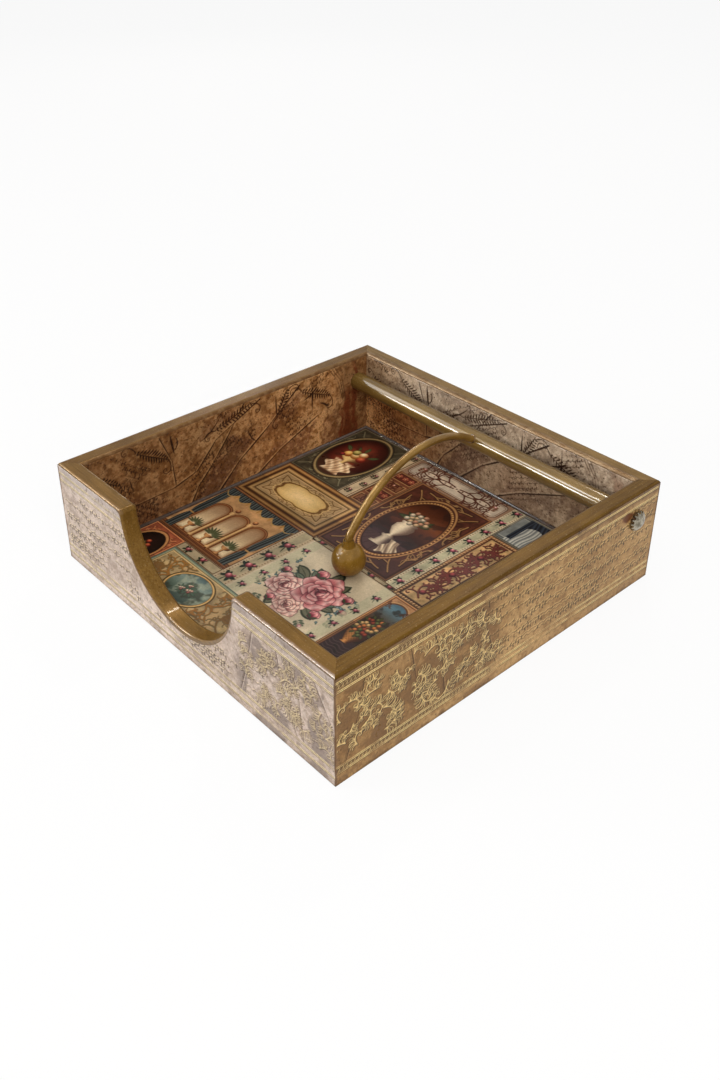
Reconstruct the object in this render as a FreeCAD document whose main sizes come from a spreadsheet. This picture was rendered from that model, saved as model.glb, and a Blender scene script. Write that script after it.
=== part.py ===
import FreeCAD, Part
import math
import os
import Sketcher

# Napkin holder: a square open tray with a finger cut-out in its front wall and a weighted arm on a
# round rod across the back. Millimetres, +Z up, the front wall faces -Y, and the origin lies under
# the middle of the tray, in the plane that it stands on.

# Driving dimensions, one spreadsheet cell each: name, value, meaning

dimensions = [
    ("tray_length", 190.0, "outer size along X"),
    ("tray_depth", 190.0, "outer size along Y"),
    ("tray_height", 51.5, "outer size along Z"),
    ("wall_thickness", 8.0, "wood of a wall, without its papers"),
    ("paper_thickness", 0.25, "lacquered paper on the walls and the floor"),
    ("outer_round", 1.0, "rounding of a wall's outer top edge"),
    ("inner_round", 1.5, "rounding of a wall's inner top edge"),
    ("base_thickness", 4.0, "base panel"),
    ("rabbet_width", 4.0, "how far the base panel reaches under the walls"),
    ("base_clearance", 0.2, "gap round the base panel in its rabbet"),
    ("floor_thickness", 1.2, "board on the base panel"),
    ("floor_clearance", 0.3, "gap round the floor board"),
    ("floor_round", 0.6, "rounding of the floor board's top edge"),
    ("cutout_radius", 38.5, "finger cut-out, a half circle centred on the wall's top"),
    ("cutout_offset", -3.0, "cut-out's centre, along X from the middle"),
    ("cutout_corner_round", 2.2, "rounding where the cut-out meets the wall's top"),
    ("rod_diameter", 9.5, "round rod"),
    ("rod_height", 37.5, "rod's axis above the table"),
    ("rod_setback", 7.0, "rod's axis in front of the back wall's paper"),
    ("rod_end_gap", 0.4, "gap between a rod end and the side wall's paper"),
    ("screw_head_diameter", 9.6, "pivot screw's head"),
    ("screw_head_height", 3.2, "pivot screw's domed head"),
    ("screw_rim_height", 1.0, "straight rim under the dome"),
    ("screw_head_gap", 0.15, "running gap under the head"),
    ("screw_diameter", 3.6, "pivot screw's shank"),
    ("screw_bite", 16.0, "length of the shank inside the rod"),
    ("screw_point", 2.5, "length of the screw's point"),
    ("screw_clearance", 0.08, "radial running clearance in the side walls"),
    ("flute_count", 14.0, "flutes round the screw's head"),
    ("flute_diameter", 1.5, "cutter of one flute"),
    ("arm_diameter", 3.8, "bent arm"),
    ("arm_position", 1.0, "arm's place on the rod, along X from the middle"),
    ("arm_turn_angle", 4.6, "degrees that the arm stands off square to the rod, towards +X"),
    ("arm_rise_angle", 29.5, "degrees that the arm rises as it leaves the rod"),
    ("arm_root", 12.0, "straight root, from the rod's axis to the first bend"),
    ("arm_run", 5.5, "straight run between the large bend and the small one"),
    ("arm_tip_radius", 8.0, "small bend's radius above the ball"),
    ("arm_reach", 91.0, "from the rod's axis to the ball's centre, level"),
    ("arm_seat", 1.5, "how far the arm goes past the rod's axis"),
    ("arm_neck", 0.9, "plumb length between the ball's top and the small bend"),
    ("glue_gap", 0.05, "radial gap round a glued or driven piece"),
    ("ball_diameter", 15.8, "ball weight"),
    ("ball_gap", 0.2, "ball's height over the floor at rest"),
    ("ball_hole_depth", 6.0, "arm's depth in the ball"),
    ("collar_height", 2.6, "collar above the ball's top"),
    ("collar_sink", 1.0, "how far the collar reaches below the ball's top"),
    ("collar_top_diameter", 4.8, "collar's upper end"),
    ("collar_foot_diameter", 6.4, "collar's lower end"),
    ("brad_diameter", 1.2, "brads in the corners and under the base"),
    ("corner_brad_length", 18.0, "brad through a mitred corner"),
    ("corner_brad_rise", 8.0, "a corner's lower brad, above the base panel"),
    ("corner_brad_drop", 10.0, "a corner's upper brad, below the rod's axis"),
    ("base_brad_length", 16.0, "brad through the base panel into a wall"),
    ("base_brad_spacing", 92.0, "distance between a wall's two base brads"),
]

doc = FreeCAD.newDocument("napkin_holder")
sheet = doc.addObject("Spreadsheet::Sheet", "sizes")


class Size:
    """A length, angle or count with its value and the spreadsheet expression that gives it."""

    def __init__(self, value, text):
        self.value = float(value)
        self.text = text

    def __add__(self, other):
        other = as_size(other)
        return Size(self.value + other.value, "(%s + %s)" % (self.text, other.text))

    def __sub__(self, other):
        other = as_size(other)
        return Size(self.value - other.value, "(%s - %s)" % (self.text, other.text))

    def __mul__(self, other):
        other = as_size(other)
        return Size(self.value * other.value, "(%s * %s)" % (self.text, other.text))

    def __truediv__(self, other):
        other = as_size(other)
        return Size(self.value / other.value, "(%s / %s)" % (self.text, other.text))

    def __neg__(self):
        return Size(-self.value, "(-1 * %s)" % self.text)


def as_size(number):
    return number if isinstance(number, Size) else Size(number, repr(float(number)))


def sine(angle):
    return Size(math.sin(math.radians(angle.value)), "sin(%s * 1 deg)" % angle.text)


def cosine(angle):
    return Size(math.cos(math.radians(angle.value)), "cos(%s * 1 deg)" % angle.text)


def write_cells():
    """Fills the sheet and returns one Size for each cell, by its name."""
    cells = {}
    for row, (name, value, meaning) in enumerate(dimensions, 1):
        sheet.set("A%d" % row, meaning)
        sheet.set("B%d" % row, str(value))
        sheet.setAlias("B%d" % row, name)
        cells[name] = Size(value, "sizes." + name)
    doc.recompute()
    return cells


cell = write_cells()
zero = Size(0.0, "0")

# Sizes and places worked out from the driving ones

half_length = cell["tray_length"] / 2
half_depth = cell["tray_depth"] / 2
skin = cell["paper_thickness"]
inner_face_y = half_depth - skin * 2 - cell["wall_thickness"]
inner_face_x = half_length - skin * 2 - cell["wall_thickness"]
floor_top = cell["base_thickness"] + cell["floor_thickness"] + skin
rod_y = inner_face_y - cell["rod_setback"]
rod_z = cell["rod_height"]
screw_hole_radius = cell["screw_diameter"] / 2 + cell["screw_clearance"]
ball_radius = cell["ball_diameter"] / 2
ball_z = floor_top + cell["ball_gap"] + ball_radius
ball_top = ball_z + ball_radius
ball_x = cell["arm_position"] + cell["arm_reach"] * sine(cell["arm_turn_angle"])
ball_y = rod_y - cell["arm_reach"] * cosine(cell["arm_turn_angle"])

# Helpers for sketches, features and placements


def origin_plane(body, role):
    return [feature for feature in body.Origin.OriginFeatures if feature.Role == role][0]


def new_body(label, base=(zero, zero, zero), axis="0; 0; 1", angle=zero):
    """Starts a body placed at base and turned by angle degrees about axis."""
    body = doc.addObject("PartDesign::Body", label)
    body.Label = label
    place(body, base, "rotation(vector(%s); %s)" % (axis, angle.text))
    return body


def place(item, base, turn="rotation(vector(0; 0; 1); 0)"):
    corner = "; ".join(size.text for size in base)
    item.setExpression("Placement", "placement(vector(%s); %s)" % (corner, turn))


def new_sketch(body, name, role, height=None):
    sketch = body.newObject("Sketcher::SketchObject", name)
    sketch.AttachmentSupport = (origin_plane(body, role), [""])
    sketch.MapMode = "FlatFace"
    if height is not None:
        sketch.setExpression("AttachmentOffset.Base.z", height.text)
    return sketch


def hold(sketch, kind, *arguments):
    """Adds a constraint whose last argument is a Size, and binds it to the sheet."""
    size = arguments[-1]
    index = sketch.addConstraint(Sketcher.Constraint(kind, *arguments[:-1], size.value))
    sketch.setExpression("Constraints[%d]" % index, size.text)


def hold_point(sketch, curve, end, x, y):
    hold(sketch, "DistanceX", -1, 1, curve, end, x)
    hold(sketch, "DistanceY", -1, 1, curve, end, y)


def draw_outline(sketch, corners):
    """Closed outline of straight lines through the corners, each corner held from the origin."""
    count = len(corners)
    points = [FreeCAD.Vector(x.value, y.value, 0) for x, y in corners]
    for i in range(count):
        sketch.addGeometry(Part.LineSegment(points[i], points[(i + 1) % count]), False)
    for i in range(count):
        sketch.addConstraint(Sketcher.Constraint("Coincident", i, 2, (i + 1) % count, 1))
    for i, (x, y) in enumerate(corners):
        hold_point(sketch, i, 1, x, y)


def draw_circle(sketch, x, y, radius):
    centre = FreeCAD.Vector(x.value, y.value, 0)
    curve = sketch.addGeometry(Part.Circle(centre, FreeCAD.Vector(0, 0, 1), radius.value), False)
    hold_point(sketch, curve, 3, x, y)
    hold(sketch, "Radius", curve, radius)
    return curve


def pad_up(body, name, sketch, length):
    pad = body.newObject("PartDesign::Pad", name)
    pad.Profile = sketch
    pad.setExpression("Length", length.text)
    body.Tip = pad
    doc.recompute()
    return pad


def pocket_through(body, name, sketch):
    """Cuts the sketch right through the body, both ways from its plane."""
    before = body.Shape.Volume
    pocket = body.newObject("PartDesign::Pocket", name)
    pocket.Profile = sketch
    pocket.Type = "ThroughAll"
    pocket.Midplane = True
    body.Tip = pocket
    doc.recompute()
    check_smaller(body, name, before)
    return pocket


def check_smaller(body, name, before):
    if body.Shape.Volume > before - 1e-6:
        raise RuntimeError("%s cuts nothing from %s" % (name, body.Label))


def round_edges(body, name, radius, wanted):
    """Fillets the edges of the body's last feature for which wanted(edge) is true."""
    base = body.Tip
    names = ["Edge%d" % i for i, edge in enumerate(base.Shape.Edges, 1) if wanted(edge)]
    fillet = body.newObject("PartDesign::Fillet", name)
    fillet.Base = (base, names)
    fillet.setExpression("Radius", radius.text)
    body.Tip = fillet
    doc.recompute()


def spans(edge, axis):
    """Lowest and highest coordinate of an edge along X (0), Y (1) or Z (2)."""
    box = edge.BoundBox
    low = (box.XMin, box.YMin, box.ZMin)[axis]
    high = (box.XMax, box.YMax, box.ZMax)[axis]
    return low, high


def near(a, b):
    return abs(a - b) < 1e-3


# Walls and papers: each is drawn as the front one and turned about Z to its side


class Side:
    """One side of the tray: its turn about Z, the length of its run and its distance out."""

    def __init__(self, name, angle, half_run, distance):
        self.name = name
        self.angle = as_size(angle)
        self.half_run = half_run
        self.distance = distance
        self.cutout = name == "front"
        self.pivot = {"right": rod_y, "left": -rod_y}.get(name)


sides = [
    Side("front", 0, half_length, half_depth),
    Side("right", 90, half_depth, half_length),
    Side("back", 180, half_length, half_depth),
    Side("left", 270, half_depth, half_length),
]


def mitred_strip(label, side, inset, thickness, bottom, top):
    """Strip whose ends are mitred at 45 degrees, its outer face inset from the tray's side."""
    body = new_body(label, angle=side.angle)
    outer = side.distance - inset
    inner = outer - thickness
    long_half = side.half_run - inset
    short_half = long_half - thickness
    sketch = new_sketch(body, "plan_" + label, "XY_Plane", bottom)
    draw_outline(sketch, [
        (-long_half, -outer),
        (long_half, -outer),
        (short_half, -inner),
        (-short_half, -inner),
    ])
    pad_up(body, "length_" + label, sketch, top - bottom)
    return body


def cut_finger_opening(body, side, widen, corner_round):
    """Half-round opening in the strip's top, with its two upper corners rounded."""
    radius = cell["cutout_radius"] + widen
    sketch = new_sketch(body, "cutout_" + body.Label, "XZ_Plane")
    draw_circle(sketch, cell["cutout_offset"], cell["tray_height"], radius)
    pocket_through(body, "cutout_pocket_" + body.Label, sketch)
    top = body.Shape.BoundBox.ZMax

    def is_corner(edge):
        low, high = spans(edge, 2)
        across = spans(edge, 0)
        inside = side.half_run.value - cell["wall_thickness"].value * 2
        return near(low, top) and near(high, top) and near(*across) and abs(across[0]) < inside

    round_edges(body, "cutout_corners_" + body.Label, corner_round, is_corner)


def cut_pivot_hole(body, side, radius):
    sketch = new_sketch(body, "pivot_hole_" + body.Label, "XZ_Plane")
    draw_circle(sketch, side.pivot, rod_z, radius)
    pocket_through(body, "pivot_pocket_" + body.Label, sketch)


def round_top_edges(body, side, distance, radius):
    """Rounds the upper arris in the face at this distance, with the cut-out's edge where there is one."""
    face_y = -distance.value
    run = distance.value - side.distance.value + side.half_run.value

    def is_arris(edge):
        flat = near(spans(edge, 1)[0], face_y) and near(spans(edge, 1)[1], face_y)
        end = near(abs(spans(edge, 0)[0]), run) and near(*spans(edge, 0))
        foot = near(*spans(edge, 2)) and spans(edge, 2)[0] < cell["base_thickness"].value + 1
        hole = spans(edge, 2)[1] < rod_z.value + screw_hole_radius.value + 1 and not side.cutout
        return flat and not end and not foot and not hole

    round_edges(body, "round_%s_%d" % (body.Label, round(distance.value)), radius, is_arris)


def make_wall(side):
    """Wooden wall with the base panel's rabbet along its inner foot."""
    label = side.name + "_wall"
    body = mitred_strip(label, side, skin, cell["wall_thickness"], zero, cell["tray_height"])
    outer = side.distance - skin
    inner = outer - cell["wall_thickness"]
    before = body.Shape.Volume
    sketch = new_sketch(body, "rabbet_" + label, "XY_Plane")
    draw_outline(sketch, [
        (-side.half_run, -inner - cell["rabbet_width"]),
        (side.half_run, -inner - cell["rabbet_width"]),
        (side.half_run, zero),
        (-side.half_run, zero),
    ])
    rabbet = body.newObject("PartDesign::Pocket", "rabbet_pocket_" + label)
    rabbet.Profile = sketch
    rabbet.Reversed = True
    rabbet.setExpression("Length", cell["base_thickness"].text)
    body.Tip = rabbet
    doc.recompute()
    check_smaller(body, "rabbet", before)
    if side.cutout:
        cut_finger_opening(body, side, zero, cell["cutout_corner_round"])
    if side.pivot:
        cut_pivot_hole(body, side, screw_hole_radius)
    round_top_edges(body, side, outer, cell["outer_round"])
    round_top_edges(body, side, inner, cell["inner_round"])
    return body


def make_paper(side, label, inset, bottom, edge_round):
    """Paper that ends below the wall's rounded arris, its openings widened by the same round."""
    top = cell["tray_height"] - edge_round
    body = mitred_strip(label, side, inset, skin, bottom, top)
    if side.cutout:
        cut_finger_opening(body, side, edge_round, cell["cutout_corner_round"] + edge_round)
    if side.pivot:
        cut_pivot_hole(body, side, screw_hole_radius)
    return body


# Base, floor board and floor print


def make_panel(label, half_x, half_y, bottom, thickness):
    body = new_body(label)
    sketch = new_sketch(body, "plan_" + label, "XY_Plane", bottom)
    draw_outline(sketch, [(-half_x, -half_y), (half_x, -half_y), (half_x, half_y), (-half_x, half_y)])
    pad_up(body, "thickness_" + label, sketch, thickness)
    return body


def make_base_and_floor():
    base_out = skin + cell["rabbet_width"] - cell["base_clearance"]
    base = make_panel("base_panel", inner_face_x + base_out, inner_face_y + base_out,
                      zero, cell["base_thickness"])
    board_x = inner_face_x - cell["floor_clearance"]
    board_y = inner_face_y - cell["floor_clearance"]
    board = make_panel("floor_board", board_x, board_y, cell["base_thickness"], cell["floor_thickness"])
    board_top = cell["base_thickness"] + cell["floor_thickness"]
    round_edges(board, "floor_board_round", cell["floor_round"],
                lambda edge: near(spans(edge, 2)[0], board_top.value))
    sheet_x = board_x - cell["floor_round"]
    sheet_y = board_y - cell["floor_round"]
    paper = make_panel("floor_print", sheet_x, sheet_y, board_top, skin)
    return [base, board, paper]


# Rod, pivot screws, arm, ball and collar


def cylinder(name, radius, length, base, turn):
    item = doc.addObject("Part::Cylinder", name)
    item.setExpression("Radius", radius.text)
    item.setExpression("Height", length.text)
    place(item, base, turn)
    return item


def cut(label, base, tool):
    item = doc.addObject("Part::Cut", label)
    item.Base = base
    item.Tool = tool
    item.Label = label
    doc.recompute()
    return item


along_x = "rotation(vector(0; 1; 0); 90)"
along_minus_x = "rotation(vector(0; 1; 0); -90)"
along_arm_root = "rotation(vector(0; 0; 1); %s) * rotation(vector(1; 0; 0); %s)" % (
    cell["arm_turn_angle"].text, (as_size(90) - cell["arm_rise_angle"]).text)
rod_half = inner_face_x - cell["rod_end_gap"]
screw_inner_end = rod_half - cell["screw_bite"]
arm_hole_radius = cell["arm_diameter"] / 2 + cell["glue_gap"]


def make_rod():
    """Round rod with a pilot hole in each end and a hole for the arm's root."""
    rod = cylinder("rod_blank", cell["rod_diameter"] / 2, rod_half * 2, (-rod_half, rod_y, rod_z), along_x)
    pilot_radius = cell["screw_diameter"] / 2 + cell["glue_gap"]
    for name, sign in (("right", 1), ("left", -1)):
        turn = along_x if sign > 0 else along_minus_x
        base = (screw_inner_end * sign, rod_y, rod_z)
        pilot = cylinder("pilot_hole_" + name, pilot_radius, cell["screw_bite"] * 2, base, turn)
        rod = cut("rod_with_hole_" + name, rod, pilot)
    turn = cell["arm_turn_angle"]
    rise = cell["arm_rise_angle"]
    start = (
        cell["arm_position"] - cell["arm_seat"] * sine(turn) * cosine(rise),
        rod_y + cell["arm_seat"] * cosine(turn) * cosine(rise),
        rod_z - cell["arm_seat"] * sine(rise),
    )
    depth = cell["arm_seat"] + cell["rod_diameter"]
    hole = cylinder("arm_hole", arm_hole_radius, depth, start, along_arm_root)
    return cut("pivot_rod", rod, hole)


def make_pivot_screw(label, sign):
    """Screw turned about its axis: domed, fluted head, shank and point; drawn head up along Z."""
    through_wall = cell["screw_head_gap"] + skin * 2 + cell["wall_thickness"] + cell["rod_end_gap"]
    shank = through_wall + cell["screw_bite"]
    base = ((half_length + cell["screw_head_gap"]) * sign, rod_y, rod_z)
    body = new_body(label, base, "0; 1; 0", as_size(90 * sign))
    head = cell["screw_head_diameter"] / 2
    radius = cell["screw_diameter"] / 2
    rise = cell["screw_head_height"] - cell["screw_rim_height"]
    dome = (head * head + rise * rise) / (rise * 2)
    sketch = new_sketch(body, "profile_" + label, "XZ_Plane")
    corners = [
        (zero, cell["screw_head_height"]),
        (zero, -shank),
        (radius, cell["screw_point"] - shank),
        (radius, zero),
        (head, zero),
        (head, cell["screw_rim_height"]),
    ]
    points = [FreeCAD.Vector(x.value, y.value, 0) for x, y in corners]
    for i in range(len(points) - 1):
        sketch.addGeometry(Part.LineSegment(points[i], points[i + 1]), False)
    lean = math.asin(head.value / dome.value) / 2
    middle = FreeCAD.Vector(dome.value * math.sin(lean), 0, 0)
    middle.y = cell["screw_head_height"].value - dome.value + dome.value * math.cos(lean)
    arc = sketch.addGeometry(Part.Arc(points[5], middle, points[0]), False)
    start, end = arc_ends(sketch, arc, points[5])
    for i in range(len(points) - 2):
        sketch.addConstraint(Sketcher.Constraint("Coincident", i, 2, i + 1, 1))
    sketch.addConstraint(Sketcher.Constraint("Coincident", len(points) - 2, 2, arc, start))
    sketch.addConstraint(Sketcher.Constraint("Coincident", arc, end, 0, 1))
    sketch.addConstraint(Sketcher.Constraint("PointOnObject", arc, 3, -2))
    for i, (x, y) in enumerate(corners[:-1]):
        hold_point(sketch, i, 1, x, y)
    hold_point(sketch, len(points) - 2, 2, *corners[-1])
    turned = body.newObject("PartDesign::Revolution", "turned_" + label)
    turned.Profile = sketch
    turned.ReferenceAxis = (sketch, ["V_Axis"])
    turned.Angle = 360
    body.Tip = turned
    doc.recompute()
    before = body.Shape.Volume
    flute = new_sketch(body, "flute_" + label, "XY_Plane")
    draw_circle(flute, head, zero, cell["flute_diameter"] / 2)
    pocket = body.newObject("PartDesign::Pocket", "flute_pocket_" + label)
    pocket.Profile = flute
    pocket.Reversed = True
    pocket.setExpression("Length", cell["screw_head_height"].text)
    body.Tip = pocket
    doc.recompute()
    check_smaller(body, "flute", before)
    pattern = body.newObject("PartDesign::PolarPattern", "flutes_" + label)
    pattern.Originals = [pocket]
    pattern.Axis = (flute, ["N_Axis"])
    pattern.Angle = 360
    pattern.setExpression("Occurrences", cell["flute_count"].text)
    body.Tip = pattern
    doc.recompute()
    return body


def arc_ends(sketch, curve, first):
    """Point numbers of an arc's ends, the one at first given first."""
    starts_there = (sketch.Geometry[curve].StartPoint - first).Length < 1e-6
    return (1, 2) if starts_there else (2, 1)


def large_bend(slope):
    """Radius that brings the arm to its reach when it falls at this slope, and the plumb end's height."""
    rise = math.radians(cell["arm_rise_angle"].value)
    root = cell["arm_root"].value
    run = cell["arm_run"].value
    small = cell["arm_tip_radius"].value
    straight = root * math.cos(rise) + run * math.cos(slope) + small * (1 - math.sin(slope))
    radius = (cell["arm_reach"].value - straight) / (math.sin(rise) + math.sin(slope))
    fall = run * math.sin(slope) + small * math.cos(slope)
    height = root * math.sin(rise) + radius * (math.cos(slope) - math.cos(rise)) - fall
    return radius, height


def arm_slope(plumb_top):
    """Slope of the straight run, halved in on until the plumb end is at the height that the ball asks."""
    low = math.radians(1)
    high = math.radians(89)
    for _ in range(60):
        slope = (low + high) / 2
        if large_bend(slope)[1] > plumb_top:
            low = slope
        else:
            high = slope
    return slope


def arm_route():
    """Arm's centre line in its own plane, as (forward, up) from the rod's axis.

    A straight root at the rise angle runs into a large arc that bends down, a straight run follows,
    and a small arc turns it plumb into the ball."""
    rise = math.radians(cell["arm_rise_angle"].value)
    small = cell["arm_tip_radius"].value
    root = cell["arm_root"].value
    plumb_top = (ball_top + cell["arm_neck"] - rod_z).value
    slope = arm_slope(plumb_top)
    large = large_bend(slope)[0]
    ahead = FreeCAD.Vector(math.cos(rise), math.sin(rise), 0)
    large_centre = ahead * root + FreeCAD.Vector(math.sin(rise), -math.cos(rise), 0) * large
    small_centre = FreeCAD.Vector(cell["arm_reach"].value - small, plumb_top, 0)
    outward = FreeCAD.Vector(math.sin(slope), math.cos(slope), 0)
    middle = (slope - rise) / 2
    low = (slope + math.pi / 2) / 2
    return {
        "start": ahead * -cell["arm_seat"].value,
        "root": ahead * root,
        "large_middle": large_centre + FreeCAD.Vector(math.sin(middle), math.cos(middle), 0) * large,
        "large_end": large_centre + outward * large,
        "small_start": small_centre + outward * small,
        "small_middle": small_centre + FreeCAD.Vector(math.sin(low), math.cos(low), 0) * small,
        "plumb": small_centre + FreeCAD.Vector(small, 0, 0),
    }


def make_arm():
    """Round bar swept along two straight runs, two arcs and a plumb end; forward is -Y."""
    body = new_body("weight_arm", (cell["arm_position"], rod_y, rod_z), "0; 0; 1", cell["arm_turn_angle"])
    sketch = new_sketch(body, "arm_centre_line", "YZ_Plane")
    route = {name: FreeCAD.Vector(-point.x, point.y, 0) for name, point in arm_route().items()}
    end_depth = ball_top - cell["ball_hole_depth"] - rod_z
    end = FreeCAD.Vector(route["plumb"].x, end_depth.value, 0)
    root = sketch.addGeometry(Part.LineSegment(route["start"], route["root"]), False)
    large = sketch.addGeometry(Part.Arc(route["root"], route["large_middle"], route["large_end"]), False)
    run = sketch.addGeometry(Part.LineSegment(route["large_end"], route["small_start"]), False)
    small = sketch.addGeometry(Part.Arc(route["small_start"], route["small_middle"], route["plumb"]), False)
    plumb = sketch.addGeometry(Part.LineSegment(route["plumb"], end), False)
    large_start, large_end = arc_ends(sketch, large, route["root"])
    small_start, small_end = arc_ends(sketch, small, route["small_start"])
    for first, first_end, second, second_end in (
        (root, 2, large, large_start),
        (large, large_end, run, 1),
        (run, 2, small, small_start),
        (small, small_end, plumb, 1),
    ):
        sketch.addConstraint(Sketcher.Constraint("Tangent", first, first_end, second, second_end))
    reach = -cell["arm_reach"]
    rise = cell["arm_rise_angle"]
    seat = cell["arm_seat"]
    hold_point(sketch, root, 1, seat * cosine(rise), -seat * sine(rise))
    hold_point(sketch, root, 2, -cell["arm_root"] * cosine(rise), cell["arm_root"] * sine(rise))
    hold(sketch, "Distance", run, cell["arm_run"])
    hold(sketch, "Radius", small, cell["arm_tip_radius"])
    hold(sketch, "DistanceX", -1, 1, plumb, 1, reach)
    hold(sketch, "DistanceY", -1, 1, plumb, 1, ball_top + cell["arm_neck"] - rod_z)
    hold(sketch, "DistanceY", -1, 1, plumb, 2, end_depth)
    doc.recompute()
    profile = body.newObject("Sketcher::SketchObject", "arm_section")
    profile.AttachmentSupport = [(sketch, "Edge1")]
    profile.MapMode = "NormalToEdge"
    profile.MapPathParameter = 0.0
    draw_circle(profile, zero, zero, cell["arm_diameter"] / 2)
    pipe = body.newObject("PartDesign::AdditivePipe", "arm_bar")
    pipe.Profile = profile
    pipe.Spine = (sketch, ["Edge%d" % (i + 1) for i in range(5)])
    body.Tip = pipe
    doc.recompute()
    return body


def make_ball():
    """Ball bored from its top for the arm's plumb end."""
    ball = doc.addObject("Part::Sphere", "ball_blank")
    ball.setExpression("Radius", ball_radius.text)
    place(ball, (ball_x, ball_y, ball_z))
    depth = cell["ball_hole_depth"] + cell["glue_gap"]
    bore = cylinder("ball_bore", arm_hole_radius, depth * 2, (ball_x, ball_y, ball_top - depth),
                    "rotation(vector(0; 0; 1); 0)")
    return cut("ball_weight", ball, bore)


def make_collar():
    """Tapered ring round the arm, hollowed below to sit on the ball."""
    height = cell["collar_height"] + cell["collar_sink"]
    upright = "rotation(vector(0; 0; 1); 0)"
    base = (ball_x, ball_y, ball_top - cell["collar_sink"])
    cone = doc.addObject("Part::Cone", "collar_blank")
    cone.setExpression("Radius1", (cell["collar_foot_diameter"] / 2).text)
    cone.setExpression("Radius2", (cell["collar_top_diameter"] / 2).text)
    cone.setExpression("Height", height.text)
    place(cone, base, upright)
    seat = doc.addObject("Part::Sphere", "collar_seat")
    seat.setExpression("Radius", (ball_radius + cell["glue_gap"]).text)
    place(seat, (ball_x, ball_y, ball_z))
    hollow = cut("collar_hollow", cone, seat)
    # the arm starts to bend inside the collar, so its bore is eased by what the bend moves there
    rise = cell["collar_height"] - cell["arm_neck"]
    ease = rise * rise / (cell["arm_tip_radius"] * 2)
    bore = cylinder("collar_bore", arm_hole_radius + ease, height * 2, base, upright)
    return cut("ball_collar", hollow, bore)


# Brads: each group is one set of separate solids


def make_brads(label, length, places):
    """Group of brads, each given by its start and the turn of its axis from Z."""
    brads = []
    for i, (base, turn) in enumerate(places):
        brads.append(cylinder("%s_%d" % (label, i + 1), cell["brad_diameter"] / 2, length, base, turn))
    group = doc.addObject("Part::Compound", label)
    group.Links = brads
    group.Label = label
    doc.recompute()
    return group


def corner_brad_places():
    """Two brads in each corner, driven along Y through the front or back wall into a side wall."""
    x = half_length - skin - cell["wall_thickness"] / 2
    y = half_depth - skin
    lower = cell["base_thickness"] + cell["corner_brad_rise"]
    upper = rod_z - cell["corner_brad_drop"]
    places = []
    for side_x in (-1, 1):
        for side_y in (-1, 1):
            turn = "rotation(vector(1; 0; 0); %d)" % (90 * side_y)
            places.append(((x * side_x, y * side_y, lower), turn))
            places.append(((x * side_x, y * side_y, upper), turn))
    return places


def base_brad_places():
    """Two brads under each wall, driven up through the base panel."""
    x = inner_face_x + skin + cell["rabbet_width"] / 2
    y = inner_face_y + skin + cell["rabbet_width"] / 2
    half = cell["base_brad_spacing"] / 2
    upright = "rotation(vector(0; 0; 1); 0)"
    places = []
    for sign in (-1, 1):
        for end in (-1, 1):
            places.append(((half * end, y * sign, zero), upright))
            places.append(((x * sign, half * end, zero), upright))
    return places


def build_all():
    items = []
    for side in sides:
        items.append(make_wall(side))
        items.append(make_paper(side, side.name + "_outer_paper", zero, zero, cell["outer_round"]))
        inset = skin + cell["wall_thickness"]
        items.append(make_paper(side, side.name + "_inner_paper", inset, cell["base_thickness"],
                                cell["inner_round"]))
    items += make_base_and_floor()
    items.append(make_rod())
    items.append(make_pivot_screw("pivot_screw_right", 1))
    items.append(make_pivot_screw("pivot_screw_left", -1))
    items.append(make_arm())
    items.append(make_ball())
    items.append(make_collar())
    items.append(make_brads("corner_brads", cell["corner_brad_length"], corner_brad_places()))
    items.append(make_brads("base_brads", cell["base_brad_length"], base_brad_places()))
    return items


def check_document(items):
    doc.recompute()
    for item in doc.Objects:
        if "Invalid" in item.State or "Error" in item.State:
            raise RuntimeError("%s failed: %s" % (item.Label, item.State))
    for item in items:
        if item.Shape.isNull() or not item.Shape.isValid():
            raise RuntimeError("%s has no valid shape" % item.Label)


def write_parts(items):
    os.makedirs("parts", exist_ok=True)
    for item in items:
        item.Shape.exportStep("parts/%s.step" % item.Label)
        print("%-22s %2d solid(s) %10.1f mm3" % (item.Label, len(item.Shape.Solids), item.Shape.Volume))


parts = build_all()
check_document(parts)
write_parts(parts)
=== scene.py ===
import math
import bpy
import numpy as np
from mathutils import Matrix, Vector


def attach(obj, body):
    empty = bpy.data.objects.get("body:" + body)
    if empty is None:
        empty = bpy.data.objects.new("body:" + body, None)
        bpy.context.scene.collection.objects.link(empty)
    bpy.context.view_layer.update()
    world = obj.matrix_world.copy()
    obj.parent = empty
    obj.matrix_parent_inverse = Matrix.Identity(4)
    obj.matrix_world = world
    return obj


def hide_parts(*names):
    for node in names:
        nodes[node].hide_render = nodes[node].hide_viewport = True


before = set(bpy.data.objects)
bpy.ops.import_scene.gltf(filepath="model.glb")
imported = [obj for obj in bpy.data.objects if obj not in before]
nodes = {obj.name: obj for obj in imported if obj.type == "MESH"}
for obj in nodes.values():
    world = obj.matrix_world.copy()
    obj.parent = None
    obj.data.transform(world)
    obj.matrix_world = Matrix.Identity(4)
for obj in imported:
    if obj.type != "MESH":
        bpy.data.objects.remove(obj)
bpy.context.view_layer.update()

mm = 0.001


def addObject(name, data):
    item = bpy.data.objects.new(name, data)
    bpy.context.scene.collection.objects.link(item)
    return item


def feed(tree, socket, value):
    # another node's output is linked to the socket, anything else becomes its own value
    if isinstance(value, bpy.types.NodeSocket):
        tree.links.new(value, socket)
    else:
        socket.default_value = value


def addNode(tree, kind, values=None, **settings):
    node = tree.nodes.new("ShaderNode" + kind)
    for name, value in settings.items():
        setattr(node, name, value)
    for name, value in (values or {}).items():
        feed(tree, node.inputs[name], value)
    return node


def addMath(tree, operation, first, second=0.0):
    return addNode(tree, "Math", {0: first, 1: second}, operation=operation).outputs[0]


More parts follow.
